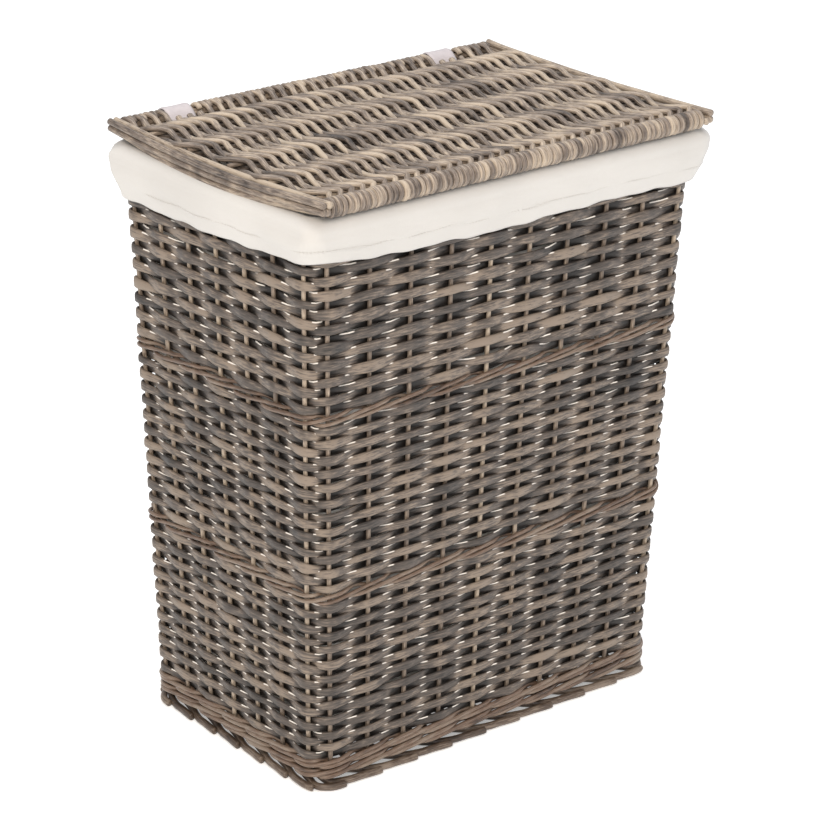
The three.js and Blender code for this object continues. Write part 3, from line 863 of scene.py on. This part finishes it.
def outside_slots(centres):
    """Which cloth faces stay: all but those in a strap's slot, at the back from the roll's underside down."""
    *_, middle, roll = rim_line()
    in_slot = np.zeros(len(centres), bool)
    for node in STRAP_NODES:
        in_slot |= (centres[:, 0] > low(node).x - SLOT_ROOM) & (centres[:, 0] < high(node).x + SLOT_ROOM)
    behind = centres[:, 1] > 0
    below = centres[:, 2] < middle - roll * 0.55
    return ~(in_slot & behind & below)


def bag_surface():
    """The bag: straight down inside the weave from the rim, a soft turn at the bottom, then the floor.

    Returns its rows of points and the middle of its floor.
    """
    half_x, half_y, corner, middle, roll = rim_line()
    wall = settings().wall
    floor = low("liner_bag").z + 0.8 * MM
    floor_edge = floor + 8 * MM
    reach_top, reach_below = corner - roll - 1 * MM, wall.corner - wall.wall - 1.6 * MM
    columns, fall_steps, floor_steps = 300, 40, 26
    share = np.arange(columns) / columns
    breaks = ring_breaks(half_x, half_y, corner)
    breaks = breaks / breaks[-1]
    top = middle - 0.5 * MM
    limits = [half + corner - roll - reach_below - 2 * MM for half in (half_x, half_y)]
    rows = []
    for t in np.linspace(0, 1, fall_steps):
        z = top + (floor_edge - top) * t
        below = [min(half - wall.corner, limit) for half, limit in zip(wall_half(z), limits)]
        blend = float(smooth(t * 14))
        x, y = (half * (1 - blend) + inner * blend for half, inner in zip((half_x, half_y), below))
        reach = reach_top * (1 - blend) + reach_below * blend
        around = ring_breaks(x, y, reach)
        s = np.interp(share, breaks, around)
        point, outward = ring(s, x, y, reach)
        depth = 5 * MM * float(smooth(t * 3)) * folds(s, t, around[-1], 3)
        point = point - outward * depth[..., None]
        point[..., 2] = z
        rows.append(point)
    edge = rows[-1]
    for inwards in np.linspace(0, 1, floor_steps)[1:-1]:
        turn = min(inwards / 0.12, 1.0)
        point = edge * (1 - inwards)
        lift = 1.5 * MM * folds(share, inwards * 2, 1.0, 6) * (1 - inwards)
        point[..., 2] = floor + (floor_edge - floor) * (1 - math.sin(turn * math.pi / 2)) + lift * turn
        rows.append(point)
    return np.array(rows), np.array([0.0, 0.0, floor])


def cuff_stitches(points):
    """Stitches along the hem: short ovals that lie on the cuff, a hem's depth above its edge."""
    liner = settings().liner
    drop = points[-1] - points[-8]
    depth = np.linalg.norm(drop, axis=-1, keepdims=True)
    line = points[-1] - drop / depth * liner.hem
    closed = np.concatenate([line, line[:1]])
    run = np.concatenate([[0], np.cumsum(np.linalg.norm(np.diff(closed, axis=0), axis=-1))])
    count = int(run[-1] / liner.stitch)
    along = (np.arange(count)[:, None] + np.linspace(0.12, 0.82, 5)[None]) * liner.stitch
    centres = np.stack([np.interp(along, run, closed[:, i]) for i in range(3)], axis=-1)
    along_line = np.gradient(centres, axis=1)
    outward = unit(np.cross(along_line, np.array([0.0, 0.0, 1.0])))
    rise = np.array([-0.1, 0.35, 0.5, 0.35, -0.1])[None, :, None] * MM
    centres = centres + outward * rise + outward * 0.25 * MM
    keep = outside_slots(centres.mean(axis=1))
    size = 0.45 * MM * np.array([0.4, 0.9, 1.0, 0.9, 0.4])
    return strands(centres[keep], outward[keep], size[None] * 0.7, size[None], sides=6)


# ---- The straps -------------------------------------------------------------------------------------------


def strap_path(node):
    """The loop's centre line in the Y-Z plane: a smooth closed curve through points set from the hinge.

    It goes below the covered rim, up in front of the lid's back stick, over it and down behind the lid.
    """
    box_low, box_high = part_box(node)
    lid_low, lid_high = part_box("lid_weave")
    run = HINGE.y - box_low.y - 1 * MM
    slant = run * math.sqrt(0.5)
    back = box_high.y - HINGE.y - settings().liner.tape / 2
    bottom, arch = lid_low.z - HINGE.z, lid_high.z - HINGE.z - 2 * MM
    below_rim = [(slant + 4 * MM, -4 * MM), (slant, -slant), (0, -run), (-slant, -slant), (-run, 0)]
    in_front = [(-run, bottom - 1 * MM), (-6 * MM, bottom + 9 * MM)]
    over_stick = [(1 * MM, arch - 2.4 * MM), (8 * MM, arch), (back - 2.5 * MM, arch - 2.6 * MM)]
    behind = [(back, bottom + 8 * MM)]
    control = np.array(below_rim[2:] + in_front + over_stick + behind + below_rim[:2])
    steps = 12
    share = (np.arange(steps) / steps)[None, :, None]
    before, start, end, after = (np.roll(control, shift, axis=0)[:, None] for shift in (1, 0, -1, -2))
    curve = 0.5 * (
        2 * start
        + (end - before) * share
        + (2 * before - 5 * start + 4 * end - after) * share**2
        + (3 * start - before - 3 * end + after) * share**3
    )
    return curve.reshape(-1, 2) + np.array([HINGE.y, HINGE.z])


def strap_loop(node):
    """The tape: a flat, slightly cupped section carried round the loop's centre line."""
    box_low, box_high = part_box(node)
    path = strap_path(node)
    middle = (box_low.x + box_high.x) / 2
    half_width = (box_high.x - box_low.x) / 2
    half = settings().liner.tape / 2
    step = unit(np.roll(path, -1, axis=0) - np.roll(path, 1, axis=0))
    outward = np.stack([step[:, 1], -step[:, 0]], axis=1)
    widths = np.linspace(-1, 1, 15)
    edge = np.clip(1 - ((np.abs(widths) - 0.93) / 0.07).clip(0) ** 2, 0.15, 1)
    cup = -0.5 * MM * widths**2
    offsets = np.concatenate([half * edge + cup, (-half * edge + cup)[::-1]])
    across = np.concatenate([widths, widths[::-1]]) * half_width
    count, around = len(path), len(offsets)
    points = np.zeros((count, around, 3))
    points[..., 0] = middle + across
    points[..., 1:] = path[:, None] + outward[:, None] * offsets[None, :, None]
    number = np.arange(count * around).reshape(count, around)
    ahead = np.roll(number, -1, axis=0)
    faces = np.stack([number, np.roll(number, -1, axis=1), np.roll(ahead, -1, axis=1), ahead], axis=-1)
    hops = np.linalg.norm(np.roll(path, -1, axis=0) - path, axis=1)
    run = np.concatenate([[0], np.cumsum(hops)])[:, None]
    full = np.zeros((count, around))
    left, right = across, np.roll(across, -1)
    corners = ((run[:-1], left), (run[:-1], right), (run[1:], right), (run[1:], left))
    uv = np.stack([np.stack([full + u, full + v], axis=-1) for u, v in corners], axis=2)
    return points.reshape(-1, 3), [faces.reshape(-1, 4)], [uv]


# ---- Materials --------------------------------------------------------------------------------------------


def add_node(tree, kind, inputs=None, **properties):
    """Adds a node, sets its properties, and sets each input to a value or links it to (node, output)."""
    made = tree.nodes.new(kind)
    for name, value in properties.items():
        setattr(made, name, value)
    for name, value in (inputs or {}).items():
        if isinstance(value, tuple) and isinstance(value[0], bpy.types.Node):
            tree.links.new(value[0].outputs[value[1]], made.inputs[name])
        else:
            made.inputs[name].default_value = value
    return made


def new_material(name):
    """An empty node material and its tree."""
    material = bpy.data.materials.new(name)
    material.use_nodes = True
    material.node_tree.nodes.clear()
    return material, material.node_tree


def rgba(colour):
    """A linear colour with full alpha."""
    return (colour[0], colour[1], colour[2], 1.0)


def willow(name, dark, body, light, roughness, coat, glint_at=None):
    """Stained and lacquered willow: split rods, dark in the grain, tan where the stain has rubbed off.

    Grain lines about 1 mm wide run along each strand; patches of about 30 mm differ in tone. Where a distance
    round the strand is given, a painted highlight is drawn: a line 1 mm wide at that distance is nearly white
    wherever the strand's glint mask is set, for the glint on a strand's upper edge where it twists at a
    crossing.
    """
    material, tree = new_material(name)
    uv = add_node(tree, "ShaderNodeUVMap", uv_map="strand")
    place = add_node(tree, "ShaderNodeTexCoord")
    tone = add_node(tree, "ShaderNodeAttribute", attribute_name="tone")
    stretched = add_node(tree, "ShaderNodeMapping", {"Vector": (uv, "UV"), "Scale": (70, 1000, 1)})
    grain = add_node(
        tree,
        "ShaderNodeTexNoise",
        {"Vector": (stretched, "Vector"), "Scale": 1.0, "Detail": 5.0, "Roughness": 0.62},
    )
    patches = add_node(
        tree,
        "ShaderNodeTexNoise",
        {"Vector": (place, "Object"), "Scale": 38.0, "Detail": 3.0, "Roughness": 0.6},
    )
    # The grain, the patches and the strand's tone, which is random with painted shade added in recesses on
    # some strands, each by its weight, add up to the place in the ramp.
    total = -0.85
    for source, weight in ((grain, 1.7), (patches, 0.8), (tone, 0.75)):
        part = add_node(
            tree, "ShaderNodeMath", {0: (source, "Fac"), 1: weight, 2: total}, operation="MULTIPLY_ADD"
        )
        total = (part, "Value")
    ramp = add_node(tree, "ShaderNodeValToRGB", {"Fac": total})
    stops = ramp.color_ramp.elements
    stops[0].position, stops[0].color = 0.3, rgba(dark)
    stops[1].position, stops[1].color = 1.12, rgba(light)
    middle = stops.new(0.74)
    middle.color = rgba(body)
    colour = (ramp, "Color")
    if glint_at is not None:
        colour = (painted_glint_line(tree, uv, colour, glint_at), 2)
    bump = add_node(tree, "ShaderNodeBump", {"Height": (grain, "Fac"), "Strength": 0.7, "Distance": 0.6 * MM})
    shader = add_node(
        tree,
        "ShaderNodeBsdfPrincipled",
        {
            "Base Color": colour, "Roughness": roughness, "IOR": 1.5, "Coat Weight": coat,
            "Coat Roughness": 0.3, "Normal": (bump, "Normal"),
        },
    )
    add_node(tree, "ShaderNodeOutputMaterial", {"Surface": (shader, "BSDF")})
    return material


def painted_glint_line(tree, uv, colour, glint_at):
    """Mixes in the painted highlight, a nearly white glint: the glint mask past its threshold, times a band
    of the strand's girth.
    """
    split = add_node(tree, "ShaderNodeSeparateXYZ", {"Vector": (uv, "UV")})
    away = add_node(tree, "ShaderNodeMath", {0: (split, "Y"), 1: glint_at}, operation="SUBTRACT")
    distance = add_node(tree, "ShaderNodeMath", {0: (away, "Value")}, operation="ABSOLUTE")
    band = add_node(
        tree, "ShaderNodeMapRange",
        {
            "Value": (distance, "Value"), "From Min": 0.6 * MM, "From Max": 0.95 * MM, "To Min": 1.0,
            "To Max": 0.0,
        },
    )
    worn = add_node(tree, "ShaderNodeAttribute", attribute_name="worn")
    where = add_node(tree, "ShaderNodeMapRange", {"Value": (worn, "Fac"), "From Min": 0.4, "From Max": 0.5})
    both = add_node(tree, "ShaderNodeMath", {0: (band, "Result"), 1: (where, "Result")}, operation="MULTIPLY")
    # The painted highlight's colour, nearly white.
    return add_node(
        tree, "ShaderNodeMix", {0: (both, "Value"), 6: colour, 7: rgba(linear("#efeae2"))}, data_type="RGBA"
    )


def cotton(name, colour):
    """Washed cotton sheeting: plain weave with faint slubs, matt, with fine crumpling.

    The threads are 0.5 mm apart, too fine to show, so the slubs are drawn 3 mm wide.
    """
    material, tree = new_material(name)
    uv = add_node(tree, "ShaderNodeUVMap", uv_map="strand")
    place = add_node(tree, "ShaderNodeTexCoord")
    stretched = add_node(tree, "ShaderNodeMapping", {"Vector": (uv, "UV"), "Scale": (900, 160, 1)})
    slubs = add_node(
        tree, "ShaderNodeTexNoise", {"Vector": (stretched, "Vector"), "Scale": 1.0, "Detail": 3.0}
    )
    crumple = add_node(
        tree,
        "ShaderNodeTexNoise",
        {"Vector": (place, "Object"), "Scale": 26.0, "Detail": 5.0, "Roughness": 0.55},
    )
    stain = add_node(tree, "ShaderNodeTexNoise", {"Vector": (place, "Object"), "Scale": 9.0, "Detail": 2.0})
    ramp = add_node(tree, "ShaderNodeValToRGB", {"Fac": (stain, "Fac")})
    stops = ramp.color_ramp.elements
    stops[0].position, stops[0].color = 0.35, rgba([c * 0.93 for c in colour])
    stops[1].position, stops[1].color = 0.65, rgba(colour)
    fine = add_node(
        tree, "ShaderNodeBump", {"Height": (slubs, "Fac"), "Strength": 0.25, "Distance": 0.4 * MM}
    )
    bump = add_node(
        tree,
        "ShaderNodeBump",
        {"Height": (crumple, "Fac"), "Strength": 0.6, "Distance": 3 * MM, "Normal": (fine, "Normal")},
    )
    shader = add_node(
        tree,
        "ShaderNodeBsdfPrincipled",
        {
            "Base Color": (ramp, "Color"), "Roughness": 0.92, "IOR": 1.46, "Sheen Weight": 0.2,
            "Sheen Roughness": 0.5, "Normal": (bump, "Normal"),
        },
    )
    add_node(tree, "ShaderNodeOutputMaterial", {"Surface": (shader, "BSDF")})
    return material


def ribbon(name, colour):
    """Woven grosgrain tape: ribs across it every 1.2 mm, a soft satin shine."""
    material, tree = new_material(name)
    uv = add_node(tree, "ShaderNodeUVMap", uv_map="strand")
    ribs = add_node(
        tree,
        "ShaderNodeTexWave",
        {"Vector": (uv, "UV"), "Scale": 1 / (1.2 * MM) / math.tau, "Distortion": 0.3, "Detail": 1.0},
        bands_direction="X",
    )
    bump = add_node(tree, "ShaderNodeBump", {"Height": (ribs, "Fac"), "Strength": 0.3, "Distance": 0.2 * MM})
    noise = add_node(tree, "ShaderNodeTexNoise", {"Vector": (uv, "UV"), "Scale": 90.0, "Detail": 3.0})
    ramp = add_node(tree, "ShaderNodeValToRGB", {"Fac": (noise, "Fac")})
    stops = ramp.color_ramp.elements
    stops[0].position, stops[0].color = 0.3, rgba([c * 0.88 for c in colour])
    stops[1].position, stops[1].color = 0.7, rgba(colour)
    shader = add_node(
        tree,
        "ShaderNodeBsdfPrincipled",
        {
            "Base Color": (ramp, "Color"), "Roughness": 0.5, "IOR": 1.5, "Sheen Weight": 0.15,
            "Normal": (bump, "Normal"),
        },
    )
    add_node(tree, "ShaderNodeOutputMaterial", {"Surface": (shader, "BSDF")})
    return material


def finish(key):
    """A finish by its key, made once."""
    c = settings().colours
    made = {
        # 3 mm round the wall's strands is their upper edge, where the painted glint is drawn.
        "wall": ("willow stained dark", willow, c.wall_dark, c.wall_mid, c.wall_light, 0.5, 0.1, 3 * MM),
        "lid": ("willow washed grey", willow, c.lid_dark, c.lid_mid, c.lid_light, 0.5, 0.1),
        "wale": ("willow rod red brown", willow, c.wall_dark, c.wale, c.wall_light, 0.45, 0.15),
        "foot": ("willow rod thick", willow, c.wall_dark, c.foot, c.wall_light, 0.45, 0.15),
        "stick": ("willow peeled", willow, c.wall_mid, c.stick, c.lid_light, 0.55, 0.05),
        "cotton": ("cotton sheeting", cotton, c.cotton),
        "tape": ("grosgrain tape", ribbon, c.tape),
    }
    name, make, *values = made[key]
    return bpy.data.materials.get(name) or make(name, *values)


def place(piece, body, key, slot, *nodes):
    """Gives a piece its finish and its body, and hides the CAD nodes that it stands for; slot is not used."""
    piece.data.materials.append(finish(key))
    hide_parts(*nodes)
    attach(piece, body)
    return piece


# ---- Operators --------------------------------------------------------------------------------------------


class BASKET_OT_weave(bpy.types.Operator):
    """Weave the three broad bands of the wall"""

    bl_idname = "basket.weave"
    bl_label = "Wall weave"

    def execute(self, context):
        wall = settings().wall
        bands = (("weave_lower", wall.fine_row), ("weave_middle", wall.fine_row), ("weave_upper", wall.row))
        for index, (node, row) in enumerate(bands):
            rng = np.random.default_rng(11 + index)
            piece = mesh_object("woven_" + node, *weave_band(node, row, rng, index))
            place(piece, "basket", "wall", "wall_willow", node)
        return {"FINISHED"}


class BASKET_OT_waling(bpy.types.Operator):
    """Twine the waling bands between the weave"""

    bl_idname = "basket.waling"
    bl_label = "Waling"

    def execute(self, context):
        wall = settings().wall
        for index, node in enumerate(("waling_lower", "waling_upper")):
            rng = np.random.default_rng(21 + index)
            loops = wale_loops(low(node).z, high(node).z, wall.wale_rod, 8 * MM, rng)
            place(mesh_object("twined_" + node, *loops), "basket", "wale", "waling_rod", node)
        bottom, top = low("waling_base").z, high("waling_base").z
        middle = (bottom + top) / 2
        rng = np.random.default_rng(25)
        lower = wale_loops(bottom, middle, wall.base_rod, 6 * MM, rng)
        upper = wale_loops(middle, top, wall.base_rod, 6 * MM, rng, 1.0)
        piece = joined("twined_waling_base", [lower, upper])
        place(piece, "basket", "wale", "waling_rod", "waling_base")
        return {"FINISHED"}


class BASKET_OT_foot(bpy.types.Operator):
    """Bend the rods of the foot border"""

    bl_idname = "basket.foot"
    bl_label = "Foot border"

    def execute(self, context):
        piece = mesh_object("looped_foot_border", *foot_rods(np.random.default_rng(31)))
        place(piece, "basket", "foot", "foot_rod", "foot_border")
        return {"FINISHED"}


class BASKET_OT_stakes(bpy.types.Operator):
    """Stand the stakes in the wall"""

    bl_idname = "basket.stakes"
    bl_label = "Stakes"

    def execute(self, context):
        order = stake_order()
        rng = np.random.default_rng(41)
        for group in ("stake_front", "stake_right", "stake_back", "stake_left", "corner_stake"):
            numbers = [i for i, name in enumerate(order) if name.startswith(group)]
            names = [order[i] for i in numbers]
            rods = stake_rods(numbers, [high(name).z for name in names], rng)
            place(mesh_object("round_" + group + "s", *rods), "basket", "stick", "willow_stick", *names)
        return {"FINISHED"}


class BASKET_OT_rim(bpy.types.Operator):
    """Twist the rim roll"""

    bl_idname = "basket.rim"
    bl_label = "Rim roll"

    def execute(self, context):
        piece = mesh_object("twisted_rim", *rim_rods(np.random.default_rng(51)))
        place(piece, "basket", "wall", "wall_willow", "rim_border")
        return {"FINISHED"}


class BASKET_OT_base(bpy.types.Operator):
    """Weave the bottom on its sticks"""

    bl_idname = "basket.base"
    bl_label = "Woven bottom"

    def execute(self, context):
        rng = np.random.default_rng(61)
        piece = mesh_object("woven_base", *base_strands(rng))
        place(piece, "basket", "wall", "wall_willow", "base_weave")
        names = nodes_named("base_stick")
        rods = straight_rods(names, settings().wall.base_stick / 2, rng)
        place(mesh_object("round_base_sticks", *rods), "basket", "stick", "willow_stick", *names)
        return {"FINISHED"}


class BASKET_OT_lid(bpy.types.Operator):
    """Weave the lid on its sticks and bind its short edges"""

    bl_idname = "basket.lid"
    bl_label = "Lid"

    def execute(self, context):
        rng = np.random.default_rng(71)
        place(joined("woven_lid", lid_weavers(rng)), "lid", "lid", "lid_willow", "lid_weave")
        rods, names = lid_stick_rods(rng)
        place(mesh_object("round_lid_sticks", *rods), "lid", "stick", "willow_stick", *names)
        for node in ("lid_border_left", "lid_border_right"):
            piece = mesh_object("bundled_" + node, *lid_border_rods(node, rng))
            place(piece, "lid", "lid", "lid_willow", node)
        return {"FINISHED"}


class BASKET_OT_liner(bpy.types.Operator):
    """Sew the liner's bag and turn its cuff over the rim"""

    bl_idname = "basket.liner"
    bl_label = "Cotton liner"

    def execute(self, context):
        liner = settings().liner
        points, pole = bag_surface()
        bag = sheet_object("sewn_bag", points, pole=pole)
        thicken(bag, liner.cloth)
        place(bag, "basket", "cotton", "liner_cotton", "liner_bag")
        points = cuff_surface()
        cuff = sheet_object("turned_cuff", points, keep=outside_slots)
        thicken(cuff, liner.cloth)
        place(cuff, "basket", "cotton", "liner_cotton", "liner_cuff")
        stitches = mesh_object("hem_stitches", *cuff_stitches(points))
        stitches.data.materials.append(finish("cotton"))
        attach(stitches, "basket")
        return {"FINISHED"}


class BASKET_OT_straps(bpy.types.Operator):
    """Loop the two hinge straps"""

    bl_idname = "basket.straps"
    bl_label = "Hinge straps"

    def execute(self, context):
        for node in STRAP_NODES:
            piece = mesh_object("tape_" + node, *strap_loop(node))
            place(piece, "lid", "tape", "strap_tape", node)
        return {"FINISHED"}


def aimed(name, data, place_at, target):
    """An object for a lamp, turned from its place towards a target."""
    made = bpy.data.objects.new(name, data)
    bpy.context.scene.collection.objects.link(made)
    made.location = place_at
    made.rotation_euler = (Vector(target) - Vector(place_at)).to_track_quat("-Z", "Y").to_euler()
    return made


def area_light(name, place_at, size, power, colour):
    """A square soft light aimed at the basket's middle."""
    lamp = bpy.data.lights.new(name, "AREA")
    lamp.shape = "SQUARE"
    lamp.size = size
    lamp.energy = power
    lamp.color = linear(colour)
    return aimed(name, lamp, place_at, (0, 0, 0.3))


class BASKET_OT_stage(bpy.types.Operator):
    """Set the floor, the lights and the camera"""

    bl_idname = "basket.stage"
    bl_label = "Stage"

    def execute(self, context):
        scene = context.scene
        size = 9.0
        corners = np.array([[-size, -size, 0], [size, -size, 0], [size, size, 0], [-size, size, 0]])
        floor = mesh_object("studio_floor", corners, [np.array([[0, 1, 2, 3]])])
        material, tree = new_material("matt paper backdrop")
        shader = add_node(
            tree,
            "ShaderNodeBsdfPrincipled",
            {
                "Base Color": rgba(linear("#fbfbfa")), "Roughness": 0.9,
                "Emission Color": (1.0, 1.0, 1.0, 1.0), "Emission Strength": 0.35,
            },
        )
        add_node(tree, "ShaderNodeOutputMaterial", {"Surface": (shader, "BSDF")})
        floor.data.materials.append(material)
        world = bpy.data.worlds.new("studio")
        world.use_nodes = True
        background = world.node_tree.nodes["Background"]
        background.inputs["Color"].default_value = rgba(linear("#f6f8fc"))
        background.inputs["Strength"].default_value = 0.6
        scene.world = world
        area_light("key_light", (-2.1, -2.0, 2.3), 1.6, 78, "#fff1e2")
        area_light("top_light", (0.2, 0.3, 3.2), 2.2, 50, "#ffffff")
        area_light("fill_light", (2.4, -2.2, 1.4), 2.0, 10, "#eaf1ff")
        scene.view_settings.view_transform = "Standard"
        self.add_camera(scene)
        return {"FINISHED"}

    def add_camera(self, scene):
        """A long lens to the front left, looking down at the basket's middle."""
        azimuth, elevation, roll = (math.radians(angle) for angle in (-40.08, 21.83, 0.83))
        distance, aside, aim_height = 3.0526, 1.7 * MM, 0.2978
        level = math.cos(elevation)
        back = Vector((math.sin(azimuth) * level, -math.cos(azimuth) * level, math.sin(elevation)))
        right = Vector((math.cos(azimuth), math.sin(azimuth), 0))
        up = back.cross(right)
        rolled_right = right * math.cos(roll) + up * math.sin(roll)
        rolled_up = up * math.cos(roll) - right * math.sin(roll)
        place_at = back * distance + right * aside + Vector((0, 0, aim_height))
        turned = Matrix((rolled_right, rolled_up, back)).transposed().to_4x4()
        lens = bpy.data.cameras.new("camera")
        lens.lens = 137.0
        lens.sensor_width = 36.0
        lens.clip_end = 60.0
        camera = bpy.data.objects.new("camera", lens)
        scene.collection.objects.link(camera)
        camera.matrix_world = Matrix.Translation(place_at) @ turned
        scene.camera = camera


class BASKET_PT_panel(bpy.types.Panel):
    """Lists the basket's pieces and settings"""

    bl_idname = "BASKET_PT_panel"
    bl_label = "Woven laundry basket"
    bl_space_type = "VIEW_3D"
    bl_region_type = "UI"
    bl_category = "Basket"

    def draw(self, context):
        layout = self.layout
        for operator in OPERATORS:
            layout.operator(operator.bl_idname, text=operator.bl_label)
        chosen = context.scene.woven_basket
        for group in (chosen.wall, chosen.lid, chosen.liner, chosen.colours):
            box = layout.box()
            for name in group.bl_rna.properties.keys():
                if name not in ("rna_type", "name"):
                    box.prop(group, name)


OPERATORS = (
    BASKET_OT_weave,
    BASKET_OT_waling,
    BASKET_OT_foot,
    BASKET_OT_stakes,
    BASKET_OT_rim,
    BASKET_OT_base,
    BASKET_OT_lid,
    BASKET_OT_liner,
    BASKET_OT_straps,
    BASKET_OT_stage,
)
GROUPS = (WallSettings, LidSettings, LinerSettings, ColourSettings, BasketSettings)


def register():
    """Registers the classes and the scene's settings."""
    for item in (*GROUPS, *OPERATORS, BASKET_PT_panel):
        bpy.utils.register_class(item)
    bpy.types.Scene.woven_basket = bpy.props.PointerProperty(type=BasketSettings)


def unregister():
    """Takes the classes and the scene's settings away again."""
    del bpy.types.Scene.woven_basket
    for item in reversed((*GROUPS, *OPERATORS, BASKET_PT_panel)):
        bpy.utils.unregister_class(item)


def main():
    """Makes every piece."""
    register()
    for operator in OPERATORS:
        group, name = operator.bl_idname.split(".")
        getattr(getattr(bpy.ops, group), name)()


if __name__ == "__main__":
    main()
